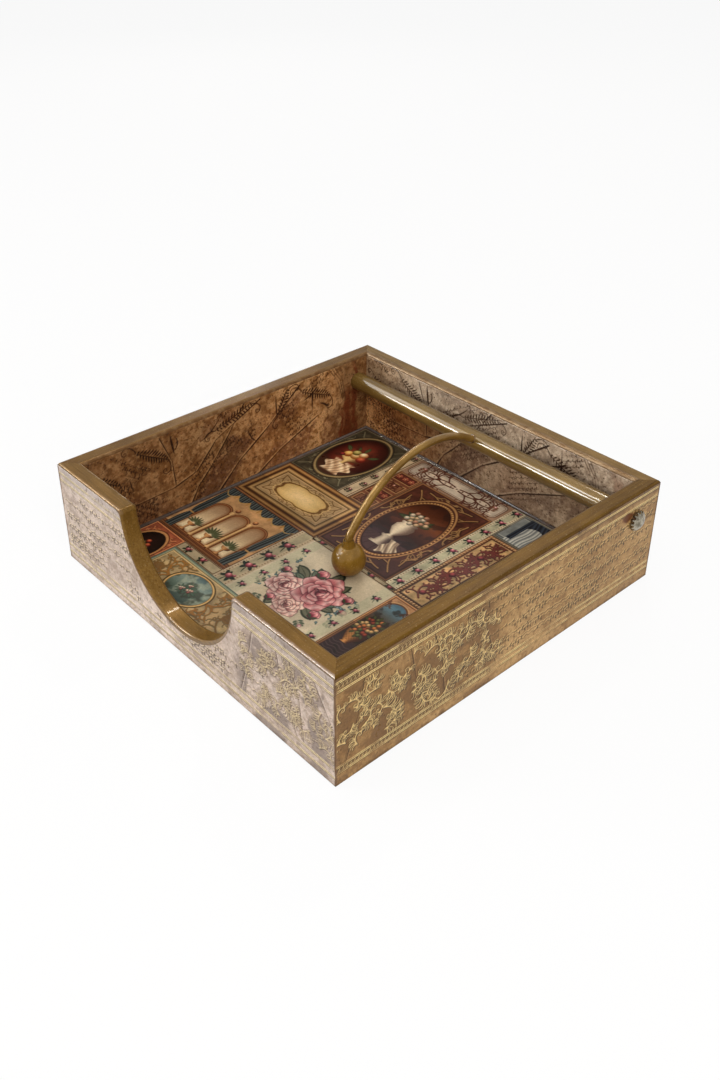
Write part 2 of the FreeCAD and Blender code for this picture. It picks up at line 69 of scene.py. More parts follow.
def times(tree, first, second):
    return addMath(tree, "MULTIPLY", first, second)


def plus(tree, first, second):
    return addMath(tree, "ADD", first, second)


# Camera and light. The camera stands where the photograph was taken; its shift keeps the photograph's framing.

cameraSetup = {"place": (0.30835, -0.27878, 0.30634), "view": (-0.64709, 0.57916, -0.49583), "lens": 36.572,
        "sensor": 36.0, "shiftX": 0.00899, "shiftY": -0.09535}

warm, lamp = (1.0, 0.93, 0.82), (1.0, 0.92, 0.78)
lightSetup = {
    # name: direction from the tray, distance in m, width, height, watts, colour, lights the surfaces, shows in gloss
    "window": ((-0.653, -0.713, 0.257), 1.20, 0.55, 0.15, 5.8, (1.0, 0.99, 0.97), True, False),
    "ceiling": ((0.10, -0.25, 1.0), 1.30, 1.00, 1.00, 4.8, (1.0, 0.98, 0.95), True, False),
    "rightFill": ((0.82, -0.40, 0.60), 1.30, 0.80, 0.80, 8.0, (1.0, 0.97, 0.92), True, False),
    "lampLeft": ((-0.795, 0.51, 0.328), 1.40, 0.07, 0.07, 0.9, warm, True, True),
    "lampBack": ((-0.379, 0.588, 0.714), 1.40, 0.09, 0.09, 1.6, warm, True, True),
    "lampRight": ((0.641, -0.183, 0.743), 1.40, 0.06, 0.06, 0.9, warm, True, True),
    "windowGlare": ((-0.653, -0.713, 0.250), 1.20, 0.62, 0.20, 15.0, (0.90, 0.95, 1.0), False, True),
    "windowHigh": ((-0.65, -0.58, 0.50), 1.30, 0.30, 0.26, 0.9, (0.88, 0.94, 1.0), False, True),
    "windowLow": ((-0.48, -0.58, 0.66), 1.30, 0.22, 0.30, 3.0, (0.86, 0.93, 1.0), False, True),
    "skylight": ((-0.733, -0.292, 0.614), 1.20, 0.50, 0.40, 3.4, (0.92, 0.96, 1.0), False, True),
    "spotA": ((-0.30, 0.35, 0.90), 1.40, 0.06, 0.06, 3.0, lamp, False, True),
    "spotB": ((-0.30, 0.05, 0.95), 1.40, 0.06, 0.06, 3.0, lamp, False, True),
    "spotC": ((-0.34, -0.25, 0.91), 1.40, 0.06, 0.06, 3.0, lamp, False, True),
    "spotD": ((-0.40, -0.50, 0.77), 1.40, 0.06, 0.06, 3.0, lamp, False, True),
}

roomSetup = {
    "glow": 0.45,        # light of the room on the object
    "white": 1.0,        # what the camera sees behind the object
    "floorSize": 12.0,
    "floorShow": 0.90,   # share of plain white in the floor, the rest takes light and shadow
}


def addCamera():
    camera = addObject("photoCamera", bpy.data.cameras.new("photoCamera"))
    camera.location = cameraSetup["place"]
    camera.rotation_euler = Vector(cameraSetup["view"]).to_track_quat("-Z", "Y").to_euler()
    for name, value in (("sensor_fit", "AUTO"), ("sensor_width", cameraSetup["sensor"]), ("lens", cameraSetup["lens"]),
            ("shift_x", cameraSetup["shiftX"]), ("shift_y", cameraSetup["shiftY"]), ("clip_start", 0.01),
            ("clip_end", 60)):
        setattr(camera.data, name, value)
    bpy.context.scene.camera = camera


def addLights():
    aim = Vector((0, 0, 0.03))
    for name, (direction, distance, width, height, watts, colour, onSurfaces, inGloss) in lightSetup.items():
        light = bpy.data.lights.new(name, "AREA")
        light.shape = "RECTANGLE"
        light.size, light.size_y, light.energy, light.color = width, height, watts, colour
        holder = addObject(name, light)
        holder.location = aim + Vector(direction).normalized() * distance
        holder.rotation_euler = (aim - holder.location).to_track_quat("-Z", "Y").to_euler()
        holder.visible_diffuse, holder.visible_glossy = onSurfaces, inGloss


def addSeen(tree):
    # 1 for what the camera sees straight, in a mirror or through glass, 0 for the light that falls on the object
    path = addNode(tree, "LightPath").outputs
    value = path["Is Camera Ray"]
    for name in ("Is Glossy Ray", "Is Transmission Ray"):
        value = addMath(tree, "MAXIMUM", value, path[name])
    return value


def cleared(block):
    block.use_nodes = True
    block.node_tree.nodes.clear()
    return block.node_tree


def addRoom():
    world = bpy.data.worlds.new("room")
    bpy.context.scene.world = world
    tree = cleared(world)
    glow, white = (addNode(tree, "Background", {"Strength": roomSetup[name]}).outputs[0] for name in ("glow", "white"))
    mixed = addNode(tree, "MixShader", {0: addSeen(tree), 1: glow, 2: white}).outputs[0]
    addNode(tree, "OutputWorld", {0: mixed})


def addFloor():
    half = roomSetup["floorSize"] / 2
    mesh = bpy.data.meshes.new("studioFloor")
    mesh.from_pydata([(-half, -half, 0), (half, -half, 0), (half, half, 0), (-half, half, 0)], [], [(0, 1, 2, 3)])
    floor = addObject("studioFloor", mesh)
    floor.location.z = -0.0004   # so that it shares no plane with the underside
    material = bpy.data.materials.new("studioFloor")
    tree = cleared(material)
    plain = addNode(tree, "BsdfDiffuse", {"Color": (0.9, 0.9, 0.9, 1)}).outputs[0]
    bright = addNode(tree, "Emission").outputs[0]
    share = times(tree, addSeen(tree), roomSetup["floorShow"])
    addNode(tree, "OutputMaterial", {0: addNode(tree, "MixShader", {0: share, 1: plain, 2: bright}).outputs[0]})
    mesh.materials.append(material)


bpy.context.scene.view_settings.view_transform = "Standard"
addCamera()
addLights()
addRoom()
addFloor()
print("camera, lights and floor ready")

# Node groups for the finishes


def newGroup(name, inputs, outputs):
    group = bpy.data.node_groups.new(name, "ShaderNodeTree")
    for label, kind, value in inputs:
        socket = group.interface.new_socket(name=label, in_out="INPUT", socket_type="NodeSocket" + kind)
        socket.default_value = value
    for label, kind in outputs:
        group.interface.new_socket(name=label, in_out="OUTPUT", socket_type="NodeSocket" + kind)
    return group, group.nodes.new("NodeGroupInput").outputs


def giveOut(tree, values):
    result = tree.nodes.new("NodeGroupOutput")
    for name, value in values.items():
        feed(tree, result.inputs[name], value)
    return tree


def addMix(tree, blend, factor, first, second):
    # the numbers are the colour mix's own sockets among those of the Mix node
    return addNode(tree, "Mix", {0: factor, 6: first, 7: second}, data_type="RGBA", blend_type=blend).outputs[2]


def addNoise(tree, scale, detail, roughness=0.5, vector=None):
    vector = vector or addNode(tree, "TexCoord").outputs["Object"]
    mapping = addNode(tree, "Mapping", {"Vector": vector}).outputs[0]
    return addNode(tree, "TexNoise", {"Vector": mapping, "Scale": scale, "Detail": detail,
            "Roughness": roughness}).outputs["Fac"]


def addRamp(tree, value, low, high):
    return addNode(tree, "MapRange", {"Value": value, "From Min": low, "From Max": high},
            interpolation_type="SMOOTHSTEP").outputs["Result"]


paperOutputs = [("Colour", "Color"), ("Roughness", "Float"), ("Height", "Float")]


def buildAgedPaper():
    # printed paper: fibre mottling and tiny dark specks over the print, and a faint fibre height
    tree, given = newGroup("agedPaper", [("Colour", "Color", (0.5, 0.4, 0.3, 1)), ("Mottle", "Float", 0.2),
            ("Specks", "Float", 0.4)], paperOutputs)
    fibre, patch = addNoise(tree, 900, 3, 0.6), addNoise(tree, 90, 4, 0.6)
    shade = addRamp(tree, plus(tree, times(tree, fibre, 0.5), times(tree, patch, 0.5)), 0.36, 0.64)
    lift = plus(tree, times(tree, shade, 0.9), 0.55)
    grey = addNode(tree, "CombineColor", {k: lift for k in range(3)}).outputs[0]
    mottled = addMix(tree, "MULTIPLY", given["Mottle"], given["Colour"], grey)
    fine = times(tree, addRamp(tree, addNoise(tree, 620, 1), 0.68, 0.74), given["Specks"])
    return giveOut(tree, {"Colour": addMix(tree, "MIX", fine, mottled, (0.06, 0.035, 0.02, 1)),
            "Roughness": plus(tree, times(tree, patch, 0.16), 0.22), "Height": times(tree, fibre, 0.3)})


def buildBrushedGilt():
    # gold paint put on with a brush: streaks along the work, thin places where the brown ground shows
    tree, given = newGroup("brushedGilt", [("Light", "Color", (0.4, 0.3, 0.13, 1)),
            ("Dark", "Color", (0.2, 0.13, 0.05, 1)), ("Ground", "Color", (0.08, 0.045, 0.02, 1)),
            ("Streak", "Vector", (1, 1, 1)), ("Wear", "Float", 0.4)], paperOutputs)
    place = addNode(tree, "TexCoord").outputs["Object"]
    squeezed = addNode(tree, "VectorMath", {0: place, 1: given["Streak"]}, operation="MULTIPLY").outputs[0]
    streak, pool = addNoise(tree, 1.0, 4, 0.65, squeezed), addNoise(tree, 55, 3, 0.55)
    mixer = plus(tree, times(tree, streak, 0.6), times(tree, pool, 0.4))
    gold = addMix(tree, "MIX", addRamp(tree, mixer, 0.36, 0.64), given["Dark"], given["Light"])
    thin = times(tree, addRamp(tree, streak, 0.42, 0.28), addRamp(tree, pool, 0.40, 0.62))
    flecks = addRamp(tree, addNoise(tree, 1500, 2, 0.6), 0.60, 0.72)
    worn = addMix(tree, "MIX", times(tree, thin, given["Wear"]), gold, given["Ground"])
    return giveOut(tree, {"Colour": addMix(tree, "ADD", times(tree, flecks, 0.10), worn, (0.9, 0.75, 0.45, 1)),
            "Roughness": plus(tree, times(tree, streak, 0.24), 0.20), "Height": plus(tree, streak,
            times(tree, pool, 0.6))})


def buildVarnishFlaws():
    # what a hand-brushed varnish has: slow waves and single dust grains
    tree, given = newGroup("varnishFlaws", [("Waves", "Float", 1.0), ("Dust", "Float", 1.0)], [("Height", "Float")])
    waves = times(tree, addNoise(tree, 130, 2), given["Waves"])
    dust = times(tree, addRamp(tree, addNoise(tree, 480, 0), 0.80, 0.86), given["Dust"])
    return giveOut(tree, {"Height": plus(tree, waves, dust)})


agedPaper = buildAgedPaper()
brushedGilt = buildBrushedGilt()
varnishFlaws = buildVarnishFlaws()


def linear(colour):
    # screen colour of 0 to 255 as light
    part = np.asarray(colour, float) / 255
    return np.where(part <= 0.04045, part / 12.92, ((part + 0.055) / 1.055) ** 2.4)


def paint(colour):
    return tuple(float(part) for part in linear(colour)) + (1.0,)


def newMaterial(name, metallic, coat, coatRoughness):
    material = bpy.data.materials.new(name)
    material.use_nodes = True
    tree = material.node_tree
    shader = tree.nodes["Principled BSDF"].inputs
    give(tree, shader, {"Metallic": metallic, "Roughness": 0.4, "Coat Weight": coat, "Coat Roughness": coatRoughness})
    return material, tree, shader


def give(tree, sockets, values):
    for name, value in values.items():
        feed(tree, sockets[name], value)


def useGroup(tree, group, values):
    node = tree.nodes.new("ShaderNodeGroup")
    node.node_tree = group
    give(tree, node.inputs, values)
    return node.outputs


def addBump(tree, shader, height, strength, distance):
    bump = addNode(tree, "Bump", {"Strength": strength, "Distance": distance, "Height": height})
    feed(tree, shader["Normal"], bump.outputs[0])


paperFinish = {
    # name: mottle, specks, coat, coat roughness, metal share of the gilding, varnish waves
    "sheenPaleOutside": (0.20, 0.25, 0.30, 0.20, 0.45, 1.0),
    "tanOutside": (0.25, 0.30, 0.14, 0.24, 0.50, 1.0),
    "insideWalls": (0.42, 0.55, 0.22, 0.14, 0.0, 1.0),
    "floorPrints": (0.16, 0.15, 0.18, 0.06, 0.0, 0.5),
}


def printedPaper(name):
    # the sheet's own painted colour, aged, under a brushed varnish
    mottle, specks, coat, coatRoughness, metal, waves = paperFinish[name]
    material, tree, shader = newMaterial(name, 0.0, coat, coatRoughness)
    printed, gilding = (addNode(tree, "Attribute", attribute_type="GEOMETRY", attribute_name=layer).outputs for layer in
            ("print", "gilding"))
    aged = useGroup(tree, agedPaper, {"Mottle": mottle, "Specks": specks, "Colour": printed["Color"]})
    flaws = useGroup(tree, varnishFlaws, {"Waves": waves, "Dust": 1.0})
    give(tree, shader, {"Specular IOR Level": 0.08, "Base Color": aged["Colour"], "Roughness": aged["Roughness"]})
    if metal:
        feed(tree, shader["Metallic"], times(tree, gilding["Fac"], metal))
    addBump(tree, shader, plus(tree, aged["Height"], flaws["Height"]), 0.25, 0.00012)
    return material


giltFinish = {
    # name: light, dark, streak squeeze, wear, metallic, coat, coat roughness, bump
    # the four walls carry one gold paint; the differences between their light and dark tones are painted light and
    # shade
    "giltFront": ((126, 93, 42), (100, 72, 28), (60, 1100, 1100), 0.30, 0.22, 0.03, 0.14, 0.35),
    "giltRight": ((108, 78, 26), (84, 58, 16), (1100, 60, 1100), 0.30, 0.22, 0.03, 0.14, 0.35),
    "giltBack": ((132, 103, 58), (110, 84, 42), (60, 1100, 1100), 0.25, 0.22, 0.03, 0.14, 0.35),
    "giltLeft": ((116, 84, 38), (94, 65, 24), (1100, 60, 1100), 0.25, 0.22, 0.05, 0.14, 0.35),
    "giltRod": ((122, 96, 46), (102, 78, 32), (40, 900, 900), 0.10, 0.15, 0.80, 0.06, 0.05),
    "giltArm": ((148, 114, 52), (118, 86, 32), (260, 50, 260), 0.10, 0.30, 0.45, 0.24, 0.06),
    "giltBall": ((146, 110, 42), (116, 84, 26), (150, 150, 150), 0.15, 0.10, 0.42, 0.05, 0.08),
}

# where the papers lap over the top edges: the axis across the wall, the distance from the middle in m, inwards or
# outwards, the colour and how far it covers the gold
lapped = {"giltBack": ("Y", 0.0890, -1, (128, 106, 82), 0.70), "giltLeft": ("X", 0.0876, -1, (132, 100, 68), 0.80),
        "giltFront": ("Y", 0.0937, 1, (150, 134, 120), 0.70)}
lapFade, wallTop = 0.0003, 0.0500   # m


def giltPaint(name):
    # brushed antique gold, the papers lapped over its arris, and in the finger cut-out and on the arris a glossier coat
    light, dark, streak, wear, metallic, coat, coatRoughness, bumpStrength = giltFinish[name]
    material, tree, shader = newMaterial(name, metallic, coat, coatRoughness)
    gilt = useGroup(tree, brushedGilt, {"Light": paint(light), "Dark": paint(dark), "Ground": paint((78, 52, 30)),
            "Streak": streak, "Wear": wear})
    colour = gilt["Colour"]
    if name in lapped:
        axis, start, outwards, tone, share = lapped[name]
        place = addNode(tree, "TexCoord").outputs["Object"]
        parts = addNode(tree, "SeparateXYZ", {0: place}).outputs
        away = addMath(tree, "ABSOLUTE", parts[axis])
        ragged = times(tree, addNoise(tree, 130, 3, 0.6), 0.0009)
        onTop = addRamp(tree, parts["Z"], 0.0492, wallTop)
        lap = addRamp(tree, plus(tree, away, ragged), start + 0.0004 - lapFade * outwards,
                start + 0.0004 + lapFade * outwards)
        lap = times(tree, lap, onTop)
        if outwards > 0:
            lap = times(tree, lap, addRamp(tree, parts["X"], -0.11, 0.05))
            gloss = times(tree, addRamp(tree, away, 0.0935, 0.0941), addRamp(tree, parts["X"], -0.05, 0.03))
            give(tree, shader, {"Coat Weight": plus(tree, times(tree, gloss, 0.45), 0.05), "Coat Roughness": 0.07})
        mottled = addMix(tree, "MULTIPLY", addRamp(tree, addNoise(tree, 240, 3, 0.6), 0.62, 0.40), paint(tone),
                paint((206, 190, 176)))
        colour = addMix(tree, "MIX", times(tree, lap, share), colour, mottled)
    give(tree, shader, {"Specular IOR Level": 0.10, "Base Color": colour, "Roughness": gilt["Roughness"]})
    addBump(tree, shader, gilt["Height"], bumpStrength, 0.00016)
    return material


def plainFinish(name, light, dark, scale, roughness, metallic=0.0, coat=0.0, bump=0.2):
    # two tones mixed by noise, for the surfaces that hardly show
    material, tree, shader = newMaterial(name, metallic, coat, 0.12)
    noise = addNoise(tree, scale, 5, 0.6)
    give(tree, shader, {"Base Color": addMix(tree, "MIX", addRamp(tree, noise, 0.35, 0.65), paint(dark), paint(light)),
            "Roughness": plus(tree, times(tree, noise, 0.2), roughness - 0.1)})
    addBump(tree, shader, noise, bump, 0.0001)
    return material


def dress(material, *names):
    for name in names:
        mesh = nodes[name].data
        mesh.materials.clear()
        mesh.materials.append(material)


for finish, dressed in (("giltFront", ["front_wall"]), ("giltRight", ["right_wall"]), ("giltBack", ["back_wall"]),
        ("giltLeft", ["left_wall"]), ("giltRod", ["pivot_rod"]), ("giltArm", ["weight_arm"]),
        ("giltBall", ["ball_weight", "ball_collar"])):
    dress(giltPaint(finish), *dressed)
dress(plainFinish("nickelPlate", (176, 168, 150), (116, 108, 92), 500, 0.26, 1.0), "pivot_screw_right",
        "pivot_screw_left")
dress(plainFinish("brightSteel", (150, 150, 152), (110, 110, 112), 900, 0.35, 1.0), "corner_brads", "base_brads")
dress(plainFinish("rawBoard", (152, 112, 76), (116, 82, 54), 300, 0.8, bump=0.6), "base_panel")
dress(plainFinish("darkVarnish", (96, 66, 40), (60, 38, 22), 260, 0.2, coat=0.8), "floor_board")
print("carried-over solids dressed")

# Sheets of paper that are painted point by point, and the pens that paint them


def plainGrid(width, height, pitch):
    return np.meshgrid(np.linspace(0, width, int(round(width / pitch)) + 1),
            np.linspace(0, height, int(round(height / pitch)) + 1))


class Sheet:
    # u runs along the sheet and v up it, in mm, with a colour, a gilding mask and a height in mm at each point
    def __init__(self, width, height, pitch, seed):
        self.width, self.height, self.pitch = width, height, pitch
        self.u, self.v = plainGrid(width, height, pitch)
        self.colour = np.full(self.u.shape + (3,), 0.5)
        self.gilding, self.relief = np.zeros(self.u.shape), np.zeros(self.u.shape)
        self.chance = np.random.default_rng(seed)


def blended(layer, x, y, smooth=False):
    # the layer between its four nearest points, along straight lines or smooth ramps
    column, row = x.astype(int), y.astype(int)
    partX, partY = x - column, y - row
    if smooth:
        partX, partY = partX * partX * (3 - 2 * partX), partY * partY * (3 - 2 * partY)
    if layer.ndim == 3:
        partX, partY = partX[..., None], partY[..., None]
    low = layer[row, column] * (1 - partX) + layer[row, column + 1] * partX
    high = layer[row + 1, column] * (1 - partX) + layer[row + 1, column + 1] * partX
    return low * (1 - partY) + high * partY


def cloud(sheet, size, octaves=4, stretch=1.0):
    # soft noise of 0 to 1: random values on a turned lattice of this size joined by smooth ramps, finer and fainter
    # ones on top
    total = np.zeros_like(sheet.u)
    for octave in range(octaves):
        cell = size / 2 ** octave
        turn = sheet.chance.uniform(0.2, 1.3)
        x = (sheet.u / stretch * math.cos(turn) + sheet.v * math.sin(turn)) / cell
        y = (sheet.v * math.cos(turn) - sheet.u / stretch * math.sin(turn)) / cell
        x, y = x - x.min(), y - y.min()
        lattice = sheet.chance.random((int(y.max()) + 2, int(x.max()) + 2))
        total += blended(lattice, x, y, True) * 0.5 ** octave
    total -= total.mean()
    return np.clip(0.5 + total / (4 * total.std()), 0, 1)


def ramp(value, low, high):
    # 0 below low, 1 above high, smooth between them; low may be the larger
    part = np.clip((value - low) / (high - low), 0, 1)
    return part * part * (3 - 2 * part)


def lay(sheet, cover, colour, strength=1.0):
    # mixes a colour into the sheet where the cover is 1
    weight = (np.clip(cover, 0, 1) * strength)[..., None]
    sheet.colour += weight * (np.asarray(colour) / 255.0 - sheet.colour)


def graded(value, stops):
    # colour that follows a value through (value, colour) stops
    marks = [mark for mark, colour in stops]
    return np.stack([np.interp(value, marks, [colour[k] for mark, colour in stops]) for k in range(3)], -1)


def shaded(dark, light, share):
    share = share[..., None]
    return np.array(dark) * (1 - share) + np.array(light) * share


def inside(sheet, distance):
    # cover of an outline from the distance inside it, soft over one point
    return np.clip(distance / sheet.pitch + 0.5, 0, 1)


def edge(sheet):
    return np.minimum(np.minimum(sheet.u, sheet.width - sheet.u), np.minimum(sheet.v, sheet.height - sheet.v))


def ovalReach(sheet, x, y, width, height):
    # distance inside an oval, near enough: (1 - scaled radius) times the smaller half width
    radius = np.hypot((sheet.u - x) / width, (sheet.v - y) / height)
    return (1 - radius) * min(width, height)


def boxReach(sheet, x, y, halfWidth, halfHeight, corner=0.0):
    # distance inside a rectangle with round corners
    across = np.abs(sheet.u - x) - (halfWidth - corner)
    up = np.abs(sheet.v - y) - (halfHeight - corner)
    return corner - np.hypot(np.maximum(across, 0), np.maximum(up, 0)) - np.minimum(np.maximum(across, up), 0)


def area(sheet, distance, colour, strength=1.0):
    lay(sheet, inside(sheet, distance), colour, strength)


def ink(sheet, marks):
    # cover of a round nib: marks are x, y and radius of dots along the strokes, and a point takes the widest cover
    x, y, radius = (np.ravel(part) for part in marks[:3])
    pitch = sheet.pitch
    rows, columns = sheet.u.shape
    column, row = np.round(x / pitch).astype(int), np.round(y / pitch).astype(int)
    cover = np.zeros((rows, columns))
    reach = int(math.ceil(radius.max() / pitch + 0.5))
    for across in range(-reach, reach + 1):
        for up in range(-reach, reach + 1):
            c, r = column + across, row + up
            amount = np.clip((radius - np.hypot(c * pitch - x, r * pitch - y)) / pitch + 0.5, 0, 1)
            hit = (amount > 0) & (c >= 0) & (c < columns) & (r >= 0) & (r < rows)
            np.maximum.at(cover, (r[hit], c[hit]), amount[hit])
    return cover


def draw(sheet, marks, colour, strength=1.0):
    lay(sheet, ink(sheet, marks), colour, strength)


def joined(*groups):
    return tuple(np.concatenate([np.ravel(group[k]) for group in groups]) for k in range(3))


def moved(marks, x=0.0, y=0.0, grow=0.0):
    return marks[0] + x, marks[1] + y, marks[2] + grow


def edged(sheet, marks, colour, rim, rimStrength, shift, strength=1.0):
    # strokes over a rim of another colour that shows beside them
    if rim is not None:
        draw(sheet, moved(marks, *shift), rim, rimStrength)
    draw(sheet, marks, colour, strength)


def mirrored(marks, acrossU=None, acrossV=None):
    # the marks with their reflections about a line of constant u, of constant v, or both
    marks = tuple(np.ravel(part) for part in marks[:3])
    if acrossU is not None:
        marks = joined(marks, (2 * acrossU - marks[0], marks[1], marks[2]))
    if acrossV is not None:
        marks = joined(marks, (marks[0], 2 * acrossV - marks[1], marks[2]))
    return marks


def together(*values):
    # numbers and lists as arrays of one length, such as the x, y and radius of dots
    return np.broadcast_arrays(*(np.atleast_1d(np.asarray(value, float)) for value in values))


def trimmed(marks, low, left, right, high):
    keep = (marks[0] > left) & (marks[0] < right) & (marks[1] > low) & (marks[1] < high)
    return tuple(part[keep] for part in marks)


def curls(x, y, size, heading, turns, side, nib, samples=48):
    # fern strokes: each starts at x, y along its heading, bends ever faster to its side and steps ever shorter
    values = together(x, y, size, heading, turns, side, nib)
    x, y, size, heading, turns, side, nib = (value[:, None] for value in values)
    t = np.linspace(0, 1, samples)
    course = heading + side * turns * 2 * math.pi * t ** 1.7
    step = size * (1 - 0.8 * t) / (0.6 * samples)
    return (x + np.cumsum(np.cos(course) * step, 1), y + np.cumsum(np.sin(course) * step, 1), nib * (1 - 0.5 * t),
            course)


def scrollwork(x, y, size, heading, side, nib, twigs):
    # a main curl, smaller ones springing from it to both sides by turns, and two leaf tips on each of those
    stem = curls(x, y, size, heading, 1.2, side, nib, 150)
    size, side, nib = together(size, side, nib, stem[0][:, 0])[:3]
    groups = [stem]
    for k in range(twigs):
        at = int(150 * (0.10 + 0.62 * k / twigs))
        turn = side * (1 if k % 2 else -1)
        twig = curls(stem[0][:, at], stem[1][:, at], size * (0.44 - 0.05 * k), stem[3][:, at] + turn * 0.7, 0.95, turn,
                nib * 0.85, 70)
        groups.append(twig)
        for spot in (14, 33):
            groups.append(curls(twig[0][:, spot], twig[1][:, spot], size * 0.15, twig[3][:, spot] - turn * 0.8, 0.35,
                    -turn, nib * 0.7, 24))
    return joined(*groups)


def leaves(x, y, length, heading, fat, bend=0.0, samples=22):
    # strokes that swell to fat in the middle and run out in points
    x, y, length, heading, fat, bend = (value[:, None] for value in together(x, y, length, heading, fat, bend))
    t = np.linspace(0, 1, samples)
    course = heading + bend * (t - 0.3)
    return (x + np.cumsum(np.cos(course), 1) * length / samples, y + np.cumsum(np.sin(course), 1) * length / samples,
            fat * np.sin(math.pi * np.clip(t, 0.03, 0.97)) ** 0.8)


def beadRow(left, low, right, high, spacing, radius):
    # dots at even steps round a rectangle
    across = np.arange(left, right + 0.01, (right - left) / max(1, round((right - left) / spacing)))
    up = np.arange(low, high + 0.01, (high - low) / max(1, round((high - low) / spacing)))
    x = np.concatenate([across, across, np.full(up.size, left), np.full(up.size, right)])
    y = np.concatenate([np.full(across.size, low), np.full(across.size, high), up, up])
    return together(x, y, radius)


def outline(sheet, distance, *lines):
    # lines of a width and a colour where the distance inside a shape is at
    for at, width, colour in lines:
        area(sheet, width / 2 - np.abs(distance - at), colour)


def petals(sheet, x, y, out, length, width, headings, tones, crease=0.5):
    # rounded petals round a point, dark at the foot, with a rolled light rim and a thin dark outline
    dark, middle, light = (np.array(tone, float) for tone in tones)
    for heading in headings:
        a = (sheet.u - x) * math.cos(heading) + (sheet.v - y) * math.sin(heading) - out
        b = (sheet.v - y) * math.cos(heading) - (sheet.u - x) * math.sin(heading)
        wave = 1 + 0.07 * np.sin(np.arctan2(b, a - length / 2) * 5 + heading * 3)
        reach = (1 - np.hypot((a - length / 2) / (length / 2), b / (width / 2)) * wave) * min(length, width) / 2
        along = np.clip(a / length, 0, 1) + 0.10 * np.cos(b / width * 6 + heading)
        tone = graded(along, ((0.0, dark * 0.8), (0.35, dark), (0.62, middle), (0.86, light), (1.0, middle)))
        tone = tone * (1 - 0.20 * crease * ramp(np.abs(b), 0.16 * width, 0.02 * width))[..., None]
        tone = tone * (1 + 0.09 * math.sin(heading + 0.8))
        area(sheet, reach + 0.28, dark * 0.55, 0.75)
        area(sheet, reach, np.clip(tone, 0, 250))


def blossom(sheet, x, y, size, tones, turn=0.0):
    # a full flower: five spread petals, then rings that close in towards the heart, and a curled bud in the middle
    # number of petals in a ring, how far out they start, length and width
    rings = ((5, 0.06, 0.50, 0.46), (5, 0.02, 0.40, 0.38), (4, -0.03, 0.32, 0.31), (3, -0.07, 0.25, 0.25),
             (2, -0.08, 0.18, 0.20))
    for k, (count, out, length, width) in enumerate(rings):
        around = turn + k * 0.65 + np.arange(count) * 2 * math.pi / count
        petals(sheet, x, y, out * size, length * size, width * size, around, tones, 0.6 if k < 2 else 0.2)
    for k in range(3):
        ring = curls(x - size * 0.05, y - size * 0.01, size * (0.30 - 0.08 * k), turn + 2.0 * k, 0.9, 1,
                size * 0.011 + 0.08, 60)
        draw(sheet, ring, np.array(tones[0]) * 0.5, 0.8)


def foliage(sheet, x, y, length, heading, tones, fat=0.2):
    # leaves with a darker rim and midrib
    dark, light = tones
    length = np.asarray(length)
    draw(sheet, leaves(x, y, length, heading, length * fat, 0.5), dark)
    draw(sheet, leaves(x, y, length * 0.92, heading, length * fat * 0.7, 0.5), light, 0.8)
    draw(sheet, leaves(x, y, length * 0.95, heading, length * 0.02 + 0.1, 0.5), dark, 0.6)


def sprigs(sheet, x, y, size, leafTone, budTone, heading=1.4):
    # small sprays: three pairs of leaves and a bud with a light heart
    x, y = together(x, y)
    groups = []
    for k, (out, length) in enumerate(((-0.45, 0.5), (-0.1, 0.6), (0.25, 0.5))):
        for side in (-1, 1):
            groups.append(leaves(x + math.cos(heading) * out * size * 0.5, y + math.sin(heading) * out * size * 0.5,
                    length * size * 0.75, heading + side * (1.35 - 0.25 * k), size * 0.10, -side * 0.8, 12))
    groups.append(leaves(x - math.cos(heading) * size * 0.5, y - math.sin(heading) * size * 0.5, size, heading, 0.12,
            0.3, 16))
    draw(sheet, joined(*groups), leafTone)
    if budTone is not None:
        draw(sheet, together(x + math.cos(heading) * size * 0.28, y + math.sin(heading) * size * 0.28, size * 0.17),
                budTone)
        draw(sheet, together(x + math.cos(heading) * size * 0.33, y + math.sin(heading) * size * 0.33, size * 0.07),
                (238, 200, 200))


def speckle(sheet, count, across, up, radius, colour):
    # spots at random within these ranges
    draw(sheet, tuple(sheet.chance.uniform(*span, count) for span in (across, up, radius)), colour, 0.6)


def grain(sheet, amount):
    # single points lighter or darker by chance
    sheet.colour *= (1 + amount * sheet.chance.normal(0, 1, sheet.u.shape))[..., None]


def ageSheet(sheet, amount):
    # uneven yellowing under the varnish
    shade = 1 + amount * (cloud(sheet, 14, 4) - 0.5) * 2
    sheet.colour *= shade[..., None] * np.array([1.0, 0.995, 0.98])
    np.clip(sheet.colour, 0.01, 1, out=sheet.colour)


def sampled(sheet, layer, u, v):
    # a layer of the sheet read at u, v
    x = np.clip(u / sheet.width * (layer.shape[1] - 1), 0, layer.shape[1] - 1.001)
    y = np.clip(v / sheet.height * (layer.shape[0] - 1), 0, layer.shape[0] - 1.001)
    return blended(layer, x, y)


paperThickness = 0.25   # mm


